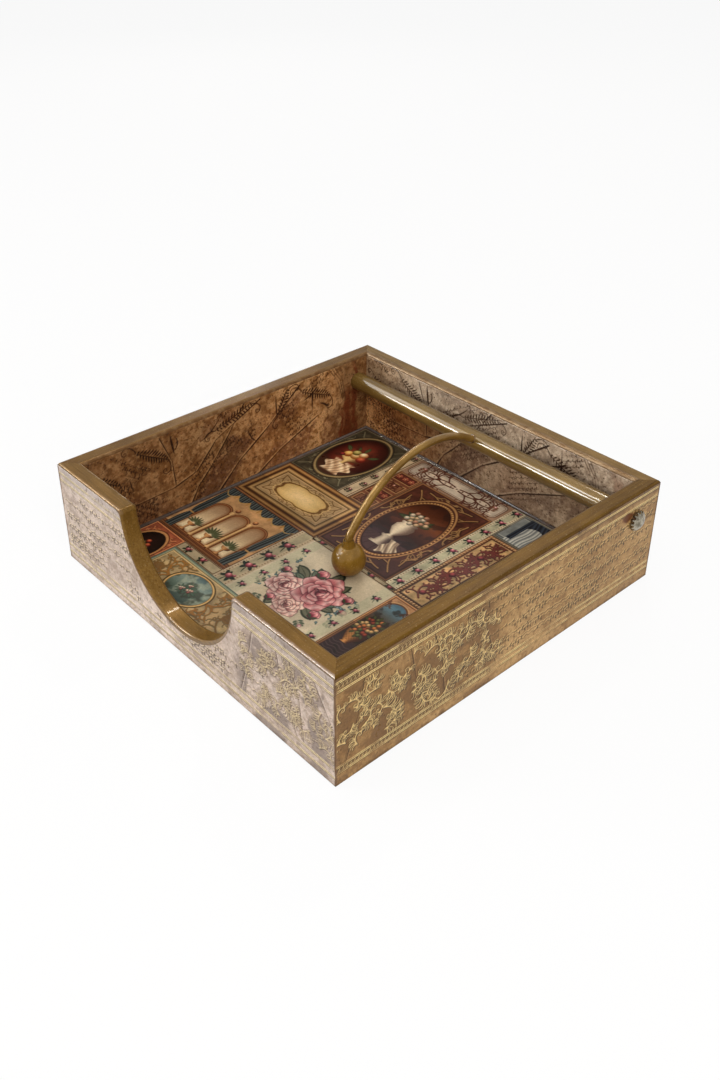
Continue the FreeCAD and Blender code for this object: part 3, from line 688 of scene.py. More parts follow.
def paperShell(name, sheet, grid, corner, along, upward, mitre):
    # a closed sheet: point = corner + u along + v upward, raised by the relief, with a flat back at the paper's
    # thickness; mitre moves the back's ends inwards by so many mm
    u, v = grid
    rows, columns = u.shape
    along, upward, corner = (np.array(part, float) for part in (along, upward, corner))
    outward = np.cross(along, upward)
    relief = sampled(sheet, sheet.relief, u, v)
    front = corner + u[..., None] * along + v[..., None] * upward + relief[..., None] * outward
    index = np.arange(rows * columns).reshape(rows, columns)
    ring = np.concatenate([index[0, :-1], index[:-1, -1], index[-1, :0:-1], index[:0:-1, 0]])
    ringU, ringV = u.ravel()[ring], v.ravel()[ring]
    shift = np.where(ringU < 1e-6, mitre, 0.0) - np.where(ringU > u.max() - 1e-6, mitre, 0.0)
    back = corner + (ringU + shift)[:, None] * along + ringV[:, None] * upward - paperThickness * outward
    backIndex = rows * columns + np.arange(ring.size)
    quads = np.stack([index[:-1, :-1], index[:-1, 1:], index[1:, 1:], index[1:, :-1]], -1).reshape(-1, 4)
    rim = np.stack([ring, backIndex, np.roll(backIndex, -1), np.roll(ring, -1)], -1)
    loops = np.concatenate([quads.ravel(), rim.ravel(), backIndex[::-1]])
    starts = np.concatenate([np.arange(len(quads) + len(rim)) * 4, [(len(quads) + len(rim)) * 4]])
    mesh = bpy.data.meshes.new(name)
    points = np.concatenate([front.reshape(-1, 3), back]) * mm
    mesh.vertices.add(len(points))
    mesh.vertices.foreach_set("co", points.astype(np.float32).ravel())
    mesh.loops.add(len(loops))
    mesh.loops.foreach_set("vertex_index", loops.astype(np.int32))
    mesh.polygons.add(len(starts))
    mesh.polygons.foreach_set("loop_start", starts.astype(np.int32))
    mesh.polygons.foreach_set("use_smooth", np.arange(len(starts)) < len(quads))
    mesh.update(calc_edges=True)
    colour = linear(np.clip(sampled(sheet, sheet.colour, u, v), 0, 1).reshape(-1, 3) * 255)
    colour = np.concatenate([colour, colour[ring] * 0.5])
    rgba = np.concatenate([colour, np.ones((len(colour), 1))], 1).astype(np.float32)
    mesh.attributes.new("print", "FLOAT_COLOR", "POINT").data.foreach_set("color", rgba.ravel())
    gilding = sampled(sheet, sheet.gilding, u, v).ravel()
    gilding = np.concatenate([gilding, np.zeros(ring.size)]).astype(np.float32)
    mesh.attributes.new("gilding", "FLOAT", "POINT").data.foreach_set("value", gilding)
    mesh.validate()
    return addObject(name, mesh)


def cutoutGrid(width, height, pitch, middle, centreHeight, radius, corner, arcPitch):
    # columns that end on the finger cut-out: flat top, a round of the corner radius, then the half circle
    apart = math.sqrt((radius + corner) ** 2 - (centreHeight - height + corner) ** 2)
    lean = math.atan2(centreHeight - height + corner, apart)
    circle = np.linspace(lean, math.pi - lean, int(radius * (math.pi - 2 * lean) / arcPitch))
    arcX, arcTop = -radius * np.cos(circle), centreHeight - radius * np.sin(circle)
    bend = np.linspace(0, math.pi / 2 - lean, int(corner * 1.5 / arcPitch))
    bendX, bendTop = -apart + corner * np.sin(bend), height - corner + corner * np.cos(bend)
    left = np.linspace(0, middle - apart, int((middle - apart) / pitch))
    right = np.linspace(middle + apart, width, int((width - middle - apart) / pitch))
    x = np.concatenate([left[:-1], middle + bendX[:-1], middle + arcX, middle - bendX[::-1][1:], right[1:]])
    top = np.concatenate([np.full(left.size - 1, height), bendTop[:-1], arcTop, bendTop[::-1][1:],
            np.full(right.size - 1, height)])
    share = np.linspace(0, 1, int(round(height / pitch)) + 1)
    return np.broadcast_to(x, (share.size, x.size)).copy(), share[:, None] * top[None, :]


print("pens and sheets ready")

# The printed papers on the walls

outerSize, innerSize = (190, 50.5), (173, 46)   # width and height in mm
linePitch = outerSize[1] / 153   # the pinstripes sit on rows of points
screwHole = (168.5, 41.5)        # on the right wall's sheet
pressedDown = 0.11               # mm, the most that the embossing stands up

wallSheets = {
    # name: lower corner and direction in mm, size, pitch, seed of the chance, finish, slot
    "front_outer_paper": ((-95, -95, 0), (1, 0, 0), outerSize, 0.33, 11, "sheenPaleOutside", "pale_paper"),
    "right_outer_paper": ((95, -95, 0), (0, 1, 0), outerSize, 0.33, 12, "tanOutside", "tan_paper"),
    "back_outer_paper": ((95, 95, 0), (-1, 0, 0), outerSize, 0.50, 13, "tanOutside", "tan_paper"),
    "left_outer_paper": ((-95, 95, 0), (0, -1, 0), outerSize, 0.50, 14, "sheenPaleOutside", "pale_paper"),
    "left_inner_paper": ((-86.5, -86.5, 4), (0, 1, 0), innerSize, 0.33, 21, "insideWalls", "inner_paper"),
    "back_inner_paper": ((-86.5, 86.5, 4), (1, 0, 0), innerSize, 0.33, 22, "insideWalls", "inner_paper"),
    "right_inner_paper": ((86.5, 86.5, 4), (0, -1, 0), innerSize, 0.42, 23, "insideWalls", "inner_paper"),
    "front_inner_paper": ((86.5, -86.5, 4), (-1, 0, 0), innerSize, 0.42, 24, "insideWalls", "inner_paper"),
}

cutouts = {
    # name: middle along the sheet, height of the centre over the sheet's foot, radius of the arc and of the rounds at
    # its ends, steps along them
    "front_outer_paper": (92.0, 50.5, 39.5, 3.2, 0.45),
    "front_inner_paper": (89.5, 46.5, 40.0, 3.7, 0.36),
}

outsideInk = {
    # the colours of each kind of sheet, 0 to 255
    "tan": {"base": (160, 124, 76), "deep": (118, 84, 46), "light": (186, 150, 100), "strip": (92, 64, 36),
            "gold": (248, 214, 144), "shade": (30, 16, 4), "stain": (124, 92, 56), "mark": (36, 20, 6)},
    # the pale set is the tan paper's colour under a painted sheen, for the sheets that face the window
    "pale": {"base": (186, 166, 151), "deep": (142, 121, 105), "light": (214, 196, 184), "strip": (170, 155, 146),
             "gold": (242, 220, 170), "shade": (70, 50, 34), "stain": (122, 106, 96), "mark": (46, 30, 20)},
}

outsidePlan = {
    # pinstripes in rows of points, where the scrolls lie along the sheet, where the rows of marks lie, their heights
    # and how patchy they are, and whether chains of links run between the pinstripes
    "tan": {"stripes": ((133, 146), (16, 25)), "scrolls": (0, 88), "marks": (66, 188),
            "rows": (12.0, 16.8, 22.8, 29.0, 35.2, 41.2), "patchy": (0.15, 0.35), "chains": True},
    "pale": {"stripes": ((130, 141), (11, 23)), "scrolls": (134, 190), "marks": (3, 150),
             "rows": (10.2, 13.4, 19.0, 25.0, 31.5, 38.0), "patchy": (0.42, 0.62), "chains": False},
}


def vineRows(sheet, left, right, heights, slope, size, spacing):
    # rows of a small vine: a thin stem that waves to and fro, a leaf at each crest, a shorter one across from it, and
    # buds; the stem's offset is amplitude times sin(pi along / spacing)
    chance = sheet.chance
    groups = []
    for height in heights:
        count = int((right - left) / spacing)
        along = (np.arange(count) + 0.5) * spacing
        turn = np.where(np.arange(count) % 2, -1.0, 1.0)
        keep = chance.random(count) < 0.25 + 0.6 * (np.sin(np.arange(count) * 0.21 + height) > -0.5)
        t = np.arange(0, right - left, 0.15)
        wave = size * 0.16 * np.sin(math.pi * t / spacing)
        stemX = left + t * math.cos(slope) - wave * math.sin(slope)
        stemY = height + t * math.sin(slope) + wave * math.cos(slope)
        groups.append(together(stemX, stemY, 0.11 + 0.02 * np.sin(t * 0.9)))
        along, turn = along[keep], turn[keep]
        offset = turn * size * 0.16
        x = left + along * math.cos(slope) - offset * math.sin(slope)
        y = height + along * math.sin(slope) + offset * math.cos(slope)
        nib = size * chance.uniform(0.07, 0.10, along.size) + 0.09
        long = size * chance.uniform(0.40, 0.60, along.size)
        groups.append(leaves(x, y, long, slope + turn * 0.85, nib, turn * 0.5, 20))
        groups.append(leaves(x, y, long * 0.8, slope - turn * 1.1, nib * 0.9, -turn * 0.5, 18))
        buds = chance.random(along.size) < 0.2
        if buds.any():
            groups.append(together(x[buds], y[buds] + turn[buds] * size * 0.42, nib[buds] * 1.1))
    return joined(*groups)


def fans(x, y, size, heading, side, nib):
    # leaf fans: strokes from one foot, each turned further to the side and shorter than the last, hooked at the tip
    strokes = [curls(x, y, size * (1 - 0.13 * k), heading + side * (0.42 * k - 0.3), 0.42, side, nib, 44)
               for k in range(3)]
    return joined(*strokes)


def acanthus(x, y, size, heading, side, nib):
    # a volute with leaf fans along its outer side and a smaller volute turning the other way
    stem = curls(x, y, size, heading, 1.35, side, nib * 1.15, 170)
    size, side = together(size, side, stem[0][:, 0])[:2]
    groups = [stem, curls(stem[0][:, 22], stem[1][:, 22], size * 0.5, stem[3][:, 22] - side * 0.9, 1.1, -side, nib, 90)]
    for k, at in enumerate((4, 30, 58, 84)):
        groups.append(fans(stem[0][:, at], stem[1][:, at], size * (0.40 - 0.05 * k), stem[3][:, at] - side * 0.75,
                -side, nib * 0.85))
    return joined(*groups)


def frond(sheet, x, y, length, heading, size, count, nib):
    # a fern frond: leaflets in pairs along a spine, longest in the middle, with a volute curling off each end
    chance = sheet.chance
    along = (np.arange(count) + 0.5) * length / count
    tall = size * (0.20 + 0.55 * np.sin(math.pi * (np.arange(count) + 0.8) / count)) * chance.uniform(0.85, 1.15, count)
    footX, footY = x + along * math.cos(heading), y + along * math.sin(heading)
    leaflets = [leaves(footX, footY, tall, heading + side * 0.95, nib * 1.25, side * 0.45, 40) for side in (-1, 1)]
    ends = (np.array([x, x + length * math.cos(heading)]), np.array([y, y + length * math.sin(heading)]))
    volutes = curls(ends[0], ends[1], size * 3.2, np.array([heading + 2.6, heading - 0.5]), 1.5, np.array([1, -1]),
            nib * 0.8, 160)
    spine = leaves(x - 1.0, y, length + 3, heading, nib * 0.9, 0.10, 160)
    return joined(*leaflets, volutes, spine)


def pulled(points, nib):
    # a line drawn through a few points, smooth between them, a little uneven in width
    points = np.array(points, float)
    t = np.linspace(0, len(points) - 1, 420)
    low = np.minimum(t.astype(int), len(points) - 2)
    part = t - low
    part = (part * part * (3 - 2 * part) + part) / 2
    place = points[low] * (1 - part)[:, None] + points[low + 1] * part[:, None]
    return place[:, 0], place[:, 1], nib * (0.75 + 0.35 * np.sin(t * 5.0))


def polygonReach(sheet, corners):
    # distance inside a convex outline given anticlockwise: the least distance to any of its sides
    reach = np.full(sheet.u.shape, 1e9)
    for (x0, y0), (x1, y1) in zip(corners, corners[1:] + corners[:1]):
        length = math.hypot(x1 - x0, y1 - y0)
        reach = np.minimum(reach, ((x1 - x0) * (sheet.v - y0) - (y1 - y0) * (sheet.u - x0)) / length)
    return reach


def embossed(sheet, marks, inks, strength=1.0, height=0.10, spread=0.06):
    # foil ornament: a painted shadow pushed to the lower right, a fainter dark edge above, and the foil itself slightly
    # proud
    draw(sheet, moved(marks, 0.33, -0.38, spread), inks["shade"], 0.95 * strength)
    draw(sheet, moved(marks, -0.33, 0.33, spread - 0.05), inks["shade"], 0.45 * strength)
    cover = ink(sheet, marks)
    lay(sheet, cover, inks["gold"], strength)
    sheet.gilding = np.maximum(sheet.gilding, cover * strength)
    sheet.relief = np.maximum(sheet.relief, cover * height)


def agedGround(sheet, inks):
    broad, patchy, fine = cloud(sheet, 30, 4, 1.6), cloud(sheet, 7, 4), cloud(sheet, 1.7, 2)
    lay(sheet, np.ones_like(broad), inks["base"])
    lay(sheet, ramp(broad, 0.45, 0.85), inks["light"], 0.7)
    lay(sheet, ramp(patchy, 0.55, 0.95), inks["deep"], 0.5)
    lay(sheet, ramp(fine, 0.60, 0.90), inks["deep"], 0.42)
    lay(sheet, ramp(fine, 0.38, 0.12), inks["light"], 0.42)


def pinstripes(sheet, rows, inks):
    # two gold lines with a dark one between and below, each one row of points wide so that they stay crisp, and worn
    # off in places
    pitch = sheet.v[1, 0]
    fine = pitch < 0.4
    there = 0.45 + 0.55 * ramp(cloud(sheet, 9, 3), 0.15, 0.38)
    for row in rows:
        row = row if fine else round(row * linePitch / pitch)
        for step, tone, strength in ((-1, "shade", 0.75), (1, "shade", 0.80), (0, "gold", 1.0), (2, "gold", 0.95)):
            line = np.clip(1 - np.abs(sheet.v / pitch - row - step), 0, 1) * there
            lay(sheet, line, inks[tone], strength)
            if tone == "gold":
                sheet.gilding = np.maximum(sheet.gilding, line * 0.8)


def paintOutside(sheet, pale):
    # the pale sheets take the tan paper's colours lightened by a painted sheen
    kind = "pale" if pale else "tan"
    inks, plan = outsideInk[kind], outsidePlan[kind]
    u, v, chance = sheet.u, sheet.v, sheet.chance
    agedGround(sheet, inks)
    heights = (tuple(row * linePitch for row in pair) for pair in plan["stripes"])
    (lowStripe, highStripe), (footStripe, nextStripe) = heights
    lay(sheet, ramp(v, lowStripe, highStripe + 1), inks["strip"], 0.75)
    start, end = plan["scrolls"]
    between = ramp(v, nextStripe - 1, nextStripe + 1.5) * ramp(v, lowStripe + 1, lowStripe - 1.5)
    zone = ramp(u, start - 6, start + 3) * ramp(u, end + 3, end - 10)

    # shaded patches behind the scrolls and below the foot stripe, creases of the old sheet
    shadedPart = np.maximum(between, ramp(v, 4.5, 2.0) + 0.6 * ramp(v, highStripe, highStripe + 2))
    shadow = zone * ramp(cloud(sheet, 12, 4), 0.46, 0.60) * shadedPart
    lay(sheet, shadow, inks["stain"], 0.75)
    for place, lean, bow in ((0.16, 9, 1.0), (0.42, -11, -2.0), (0.56, -7, 1.5), (0.80, -15, 2.5)):
        x = start + (end - start) * place
        crease = pulled([(x, lowStripe - 0.5), (x - lean * 0.45 + bow, 28), (x - lean, nextStripe + 0.8)], 0.26)
        # each crease: a dark line of painted shade, a painted highlight beside it and a fainter painted shade on the
        # other side
        edged(sheet, crease, inks["shade"], inks["light"], 0.8, (0.55, 0.15, -0.05), 0.85)
        draw(sheet, moved(crease, -0.9, -0.3, -0.1), inks["shade"], 0.35)
    x = chance.uniform(3, 187, 26)
    draw(sheet, leaves(x, highStripe + chance.uniform(0.2, 1.0, 26), chance.uniform(1.5, 4.5, 26),
            chance.choice([1.2, 1.9, 0.5], 26), chance.uniform(0.12, 0.3, 26), 0.4, 40), inks["shade"], 0.6)

    # faint scratches, and rows of small vines with a light edge above each dark stroke
    count = 700
    draw(sheet, leaves(chance.uniform(1, 188, count), chance.uniform(1, 49, count), chance.uniform(0.7, 2.4, count),
            chance.normal(0, 0.5, count), 0.13, 0.4, 10), inks["deep"], 0.75)
    left, right = plan["marks"]
    for rise, size, spacing in ((0.0, 2.6, 1.7), (1.7, 1.7, 2.3)):
        vines = vineRows(sheet, left, right, np.array(plan["rows"]) + rise, 0.0, size, spacing)
        there = ramp(cloud(sheet, 15, 3), *plan["patchy"]) * between
        lay(sheet, ink(sheet, moved(vines, -0.30, 0.36, 0.02)) * there, inks["gold"], 0.80)
        lay(sheet, ink(sheet, vines) * there, inks["mark"], 0.95)

    # scrolls, on the tan paper over a brown glaze
    if not pale:
        lay(sheet, between * ramp(u, end + 6, end - 6) * ramp(u, start - 6, start + 6), (92, 58, 22), 0.26)
    count = int((end - start) / 1.9)
    x = start + (np.arange(count) + chance.uniform(0, 0.9, count)) * (end - start - 4) / count
    y = nextStripe + 3 + ((np.arange(count) * 0.618) % 1) * (lowStripe - nextStripe - 6)
    size = chance.uniform(9, 17, count)
    side = chance.choice([-1, 1], count)
    heading = chance.uniform(0, 2 * math.pi, count)
    for k in range(8):
        scrolls = acanthus(x[k::8], y[k::8], size[k::8], heading[k::8], side[k::8], 0.23)
        keep = ((scrolls[1] > nextStripe + 1.0) & (scrolls[1] < lowStripe - 1.0) & (scrolls[0] > max(start, 1)) &
                (scrolls[0] < min(end, 189) + (scrolls[1] - 26) * -0.25))
        embossed(sheet, tuple(part[keep] for part in scrolls), inks, 0.7 if pale else 0.95)
    if plan["chains"]:
        for low, high, reach in ((lowStripe, highStripe, 62), (footStripe, nextStripe, 82)):
            x = np.arange(1.5, reach, 1.9)
            middle = (low + high) / 2 + 0.35
            links = joined(curls(x, middle - 0.6, 3.0, 0.9, 0.9, 1, 0.17, 30),
                           curls(x + 0.9, middle + 0.5, 2.4, -2.2, 0.9, 1, 0.17, 30))
            band = inside(sheet, (high - low) / 2 - np.abs(v - middle)) * ramp(u, reach, reach - 4)
            lay(sheet, band, inks["shade"], 0.16)
            embossed(sheet, links, inks, 0.75, 0.05)
    pinstripes(sheet, plan["stripes"][0] + plan["stripes"][1], inks)

    # grain of the print, specks, a worn arris at the corners, and the sheet darker towards the foot
    grain(sheet, 0.055)
    speckle(sheet, 420 if pale else 300, (1, 189), (1, 49.5), (0.10, 0.32), inks["shade"])
    corner = np.minimum(u, sheet.width - u) + (cloud(sheet, 3, 3) - 0.5) * 0.8
    lay(sheet, ramp(corner, 0.9, 0.1), (96, 68, 44), 0.8)
    lay(sheet, ramp(v + cloud(sheet, 6, 2) * 1.5, 2.2, 0.2), inks["shade"], 0.35)
    if not pale:
        # varnish run out of the screw hole
        away = np.hypot((u - screwHole[0]) / 4.5, (v - screwHole[1]) / 2.6) + (cloud(sheet, 3, 3) - 0.5) * 0.5
        lay(sheet, ramp(away, 1.1, 0.5), (88, 44, 20), 0.8)


insideInk = {
    "base": (140, 99, 62), "light": (168, 128, 86), "deep": (94, 58, 28), "stain": (94, 60, 42),
    "pen": (32, 15, 7), "red": (96, 40, 20),
    # the grey tones are paler partly as the back paper's own colour and partly as painted light
    "greyBase": (176, 155, 132), "greyLight": (206, 188, 164), "greyStain": (126, 106, 88),
}

insidePlan = {
    # in mm along and up the sheet: the corners of each stained patch and its strength
    "stains": ((((56, 1), (78, 1), (96, 24), (80, 32)), 0.70), (((96, 1), (128, 1), (138, 20), (104, 14)), 0.55),
               (((16, 1), (44, 1), (40, 15), (18, 20)), 0.35), (((100, 22), (121, 27), (131, 40), (116, 42)), 0.40),
               (((140, 2), (156, 1), (152, 22), (141, 18)), 0.45), (((60, 33), (82, 38), (88, 45), (66, 45)), 0.35)),
    # sloping rows of vines: left and right end, height of the lowest and highest row, slope, size
    "vines": ((-10, 46, 14, 62, -0.62, 1.5), (56, 104, 2, 34, 0.55, 1.3), (104, 150, 4, 30, 0.42, 1.2),
              (0, 40, -4, 12, 0.1, 1.3)),
    # creases: points on the way and the width
    "creases": ((((54, 0), (60, 10), (68, 18), (79, 31), (90, 46)), 0.30),
                (((70, 0), (86, 15), (104, 27), (126, 44)), 0.36), (((93, 0), (112, 11), (138, 22)), 0.30),
                (((46, 15), (60, 19), (72, 32), (100, 45)), 0.30), (((40, 45), (46, 30), (47, 16)), 0.24),
                (((0, 24), (22, 14), (46, 15)), 0.16)),
    # fern fronds: foot, length, heading, size, number of leaflets
    "fronds": ((27, 42, 19, -0.52, 5.2, 12), (72, 37, 24, 0.30, 4.6, 13), (111, 31, 15, 1.05, 4.4, 9),
               (127, 40, 21, -0.42, 5.0, 12), (6, 36, 13, -0.6, 3.4, 8)),
    # swelling strokes: start, length, heading, width, bend
    "strokes": ((46, 45, 12, -1.45, 0.62, 0.1), (47, 35, 9, 1.0, 0.34, 1.8), (62, 34, 16, 0.5, 0.34, 0.6),
                (92, 30, 10, -1.2, 0.40, 0.9), (110, 44, 15, -1.55, 0.42, 0.05), (134, 44, 20, -1.56, 0.40, -0.1),
                (128, 34, 11, 0.35, 0.5, 0.5), (139, 29, 8, -0.5, 0.5, -0.6), (118, 29, 9, 2.6, 0.26, -2.6),
                (22, 30, 8, -1.4, 0.3, 0.2), (12, 22, 6, -1.4, 0.26, 0.2)),
    # red-brown runs: middle, width, top
    "runs": ((160, 4.5, 30), (165, 2.2, 44), (155, 2.4, 20)),
}


def paintInside(sheet, grey):
    inks, chance = insideInk, sheet.chance
    u, v = sheet.u, sheet.v
    broad, patchy, fine, tiny = cloud(sheet, 26, 4, 1.5), cloud(sheet, 8, 4), cloud(sheet, 1.8, 2), cloud(sheet, 0.8, 1)
    # on the back paper the upper part and the right take the grey tones, partly the paper's own colour and partly
    # painted light
    fadedAndLit = ramp(v, 24, 34) if grey else np.zeros_like(u)
    if grey:
        fadedAndLit = np.clip(fadedAndLit * (0.45 + 0.55 * ramp(u, 2, 50)) + ramp(u, 25, 100) * 0.65, 0, 1)
    tone = lambda plain, pale: shaded(inks[plain], inks[pale], fadedAndLit)
    lay(sheet, np.ones_like(u), tone("base", "greyBase"))
    lay(sheet, ramp(broad, 0.42, 0.85), tone("light", "greyLight"), 0.8)
    lay(sheet, ramp(patchy, 0.5, 0.9), tone("deep", "greyStain"), 0.4 if grey else 0.55)

    # stained quarters between the creases
    for corners, strength in insidePlan["stains"]:
        cover = ramp(polygonReach(sheet, corners) + (fine - 0.5) * 3, -0.8, 1.6)
        lay(sheet, cover, tone("stain", "greyStain"), strength)
    lay(sheet, ramp(fine, 0.56, 0.9), tone("deep", "greyStain"), 0.4 if grey else 0.6)
    lay(sheet, ramp(fine, 0.40, 0.12), tone("light", "greyLight"), 0.55)
    lay(sheet, ramp(tiny, 0.72, 0.95), tone("deep", "greyStain"), 0.5)

    # sloping rows of small vines, one set to the left, others in the middle and to the right
    for left, right, low, high, slope, size in insidePlan["vines"]:
        vines = vineRows(sheet, left, right, np.arange(low, high, 3.1), slope, size * 1.5, 1.3)
        lay(sheet, ink(sheet, vines) * ramp(cloud(sheet, 12, 3), 0.35, 0.65), inks["pen"], 0.92)

    # creases, each a dark line of painted shade with a painted highlight along one edge
    for points, nib in insidePlan["creases"]:
        crease = pulled(points, nib * 1.15)
        edged(sheet, crease, inks["pen"], tone("light", "greyLight"), 0.7, (-0.6, 0.6, 0.1), 0.92)

    # fern fronds near the top, and swelling strokes
    for x, y, length, heading, size, count in insidePlan["fronds"]:
        draw(sheet, frond(sheet, x, y, length, heading, size, count, 0.27 if grey else 0.33), inks["pen"], 0.95)
    x, y, length, heading, fat, bend = np.array(insidePlan["strokes"]).T
    draw(sheet, leaves(x, y, length, heading, fat, bend, 60), inks["pen"], 0.88)

    # red-brown runs near the far end, and arcs beside them
    for middle, width, top in insidePlan["runs"]:
        cover = ramp(np.abs(u - middle + (patchy - 0.5) * 5), width, width * 0.3) * ramp(v, top + 6, top - 8)
        lay(sheet, cover, inks["red"], 0.75 if not grey else 0.3)
    arcs = joined(*(pulled([(146 + k * 2.0, 46), (152 + k * 1.6, 38), (156 + k * 0.9, 24)], 0.22) for k in range(3)))
    draw(sheet, arcs, inks["pen"], 0.6)

    speckle(sheet, 700, (1, 172), (0.5, 45.5), (0.12, 0.42), inks["pen"])
    lay(sheet, ramp(v, 3.5, 0.0), inks["deep"], 0.35)
    # painted light: each paper is lightened where the tray's shade falls on it, low at the left of the back paper and
    # towards the far end of the others
    paintedLift = 0.40 * ramp(u, 70, 10) * ramp(v, 36, 22) if grey else 0.20 * ramp(u, 70, 115) * ramp(u, 158, 146)
    sheet.colour *= 1 + paintedLift[..., None]
    grain(sheet, 0.05)


def addWallSheets():
    finishes = {name: printedPaper(name) for name in ("sheenPaleOutside", "tanOutside", "insideWalls")}
    for name, (corner, along, size, pitch, seed, finish, slot) in wallSheets.items():
        sheet = Sheet(*size, pitch, seed)
        mitre = paperThickness
        if "outer" in name:
            paintOutside(sheet, finish == "sheenPaleOutside")
            # pressed down by what the embossing stands up, so that it stays within the tray's size
            sheet.relief = np.minimum(sheet.relief - pressedDown * ramp(edge(sheet), 0, 1.2), 0)
        else:
            paintInside(sheet, name.startswith("back"))
            mitre = -paperThickness
        grid = cutoutGrid(*size, pitch, *cutouts[name]) if name in cutouts else (sheet.u, sheet.v)
        piece = paperShell(name.replace("paper", "print"), sheet, grid, corner, along, (0, 0, 1), mitre)
        piece.data.materials.append(finishes[finish])
        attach(piece, "tray")
        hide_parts(name)


addWallSheets()
print("wall papers ready")

floorTop, floorPitch = 5.45, 0.29


def panelFrame(sheet, stops):
    # a moulded frame: its colour follows the distance from the panel's edge, mitred in the corners, lit from above left
    distance = edge(sheet)
    width = stops[-1][0]
    light = 1 + 0.10 * np.sign(sheet.v - sheet.height / 2) * (distance < width)
    tones = graded(distance, stops) * light[..., None]
    cover = inside(sheet, width - distance)
    lay(sheet, cover, np.clip(tones, 0, 255))


def quarterScrolls(sheet, spots, nib, light, dark, strength=1.0, twigs=4, halves=False):
    # scrolls set out in one quarter, or in the left half, and mirrored to the rest, each with a dark lower edge
    x, y, size, heading, side = np.array(spots, float).T
    marks = mirrored(scrollwork(x, y, size, heading, side, nib, twigs), sheet.width / 2,
            None if halves else sheet.height / 2)
    edged(sheet, marks, light, dark, strength * 0.8, (0.25, -0.3, 0.14), strength)


def climbing(sheet, feet, parts, nib, twigs, margin, light, dark, strength, shift):
    # scrollwork up the middle of a sheet: feet are heights and the side each leans to, parts are the offset, rise,
    # size, lean and turning of the scrolls on each foot
    spots = [(sheet.width / 2 + turn * out, level + rise, size, math.pi / 2 + turn * lean, turn * way)
             for level, turn in feet for out, rise, size, lean, way in parts]
    right, top = sheet.width - margin, sheet.height - margin
    marks = trimmed(scrollwork(*np.array(spots).T, nib, twigs), margin, margin, right, top)
    edged(sheet, marks, light, dark, strength, shift)


def orb(sheet, x, y, radius, light, dark):
    # a ball of fruit or a bud, lit from the upper left
    across, up = (sheet.u - x) / radius, (sheet.v - y) / radius
    lit = ramp(np.hypot(across + 0.35, up - 0.4), 1.35, 0.1)
    area(sheet, (1 - np.hypot(across, up)) * radius, shaded(dark, light, lit))


def turnedShape(sheet, x, profile, light, dark):
    # a vase seen from the front: half widths over heights, shaded across like a turned body
    heights, widths = np.array(profile, float).T
    half = np.interp(sheet.v, heights, widths, 0, 0)
    across = (sheet.u - x) / np.maximum(half, 0.1)
    cover = inside(sheet, half - np.abs(sheet.u - x)) * (half > 0.05)
    lay(sheet, cover, shaded(dark, light, ramp(np.abs(across + 0.3), 1.25, 0.1)))


def folds(sheet, cover, light, dark, pitch, lean=0.0, bow=0.0):
    # hanging cloth: light and dark along its folds, which lean and bow
    phase = (sheet.u + lean * sheet.v + bow * np.sin(sheet.v * 0.35)) * 2 * math.pi / pitch
    lay(sheet, cover, shaded(dark, light, 0.5 + 0.5 * np.sin(phase + 0.8 * np.sin(phase * 0.5))))


def archReach(sheet, x, foot, halfWidth, spring):
    # distance inside a round-headed opening
    across = halfWidth - np.abs(sheet.u - x)
    low = np.minimum(across, sheet.v - foot)
    high = halfWidth - np.hypot(sheet.u - x, sheet.v - spring)
    return np.where(sheet.v < spring, low, high)


def fill(sheet, colour, mottle=0.10, size=3.0):
    shade = 1 + mottle * (cloud(sheet, size, 3) - 0.5) * 2
    sheet.colour[:] = np.clip(np.array(colour) / 255 * shade[..., None], 0, 1)


def bunch(sheet, x, y, count, step, wide, tall, radius, tones, shade=0.45):
    # orbs packed on a spiral: each 2.4 radians on from the last, as far out as step times the root of its number
    for k in range(count):
        turn, out, tone = k * 2.4, step * math.sqrt(k), np.array(tones[k % len(tones)], float)
        orb(sheet, x + math.cos(turn) * out * wide, y + math.sin(turn) * out * tall, radius, tone, tone * shade)


def posy(sheet, x, y, size, petals, leafTones, count=7):
    # a tight bunch: leaves out all round, small orbs of mixed colour in the middle
    chance = sheet.chance
    around = np.arange(9) * 2 * math.pi / 9 + chance.uniform(0, 1)
    foliage(sheet, x + np.cos(around) * size * 0.35, y + np.sin(around) * size * 0.3, size * 0.8, around, leafTones,
            0.16)
    bunch(sheet, x, y, count, size * 0.16, 1.15, 1, size * 0.24, petals)


def rosebud(sheet, x, y, size, lean=0.3):
    # the little sprig that the strips repeat: a pink rosette, two green leaves to a side and a stalk
    for side in (-1, 1):
        heading = np.array([math.pi / 2 - side * 1.25 + lean, math.pi / 2 - side * 0.75 + lean,
                -math.pi / 2 - side * 0.9 + lean])
        draw(sheet, leaves(x, y, size * np.array([1.15, 0.9, 1.05]), heading, size * 0.24, side * 0.8), (40, 54, 42))
    draw(sheet, leaves(x, y, size * 1.5, -math.pi / 2 + lean * 0.6, size * 0.07, 0.4), (36, 48, 36))
    orb(sheet, x, y + size * 0.12, size * 0.44, (208, 142, 142), (112, 46, 60))
    orb(sheet, x - size * 0.08, y + size * 0.22, size * 0.22, (226, 180, 176), (170, 96, 104))
    orb(sheet, x + size * 0.55, y + size * 0.50, size * 0.22, (196, 134, 136), (120, 60, 72))


def rosebuds(sheet, x, y, size):
    for k, (across, up) in enumerate(zip(*together(x, y))):
        rosebud(sheet, across, up, size, 0.3 if k % 2 else -0.3)


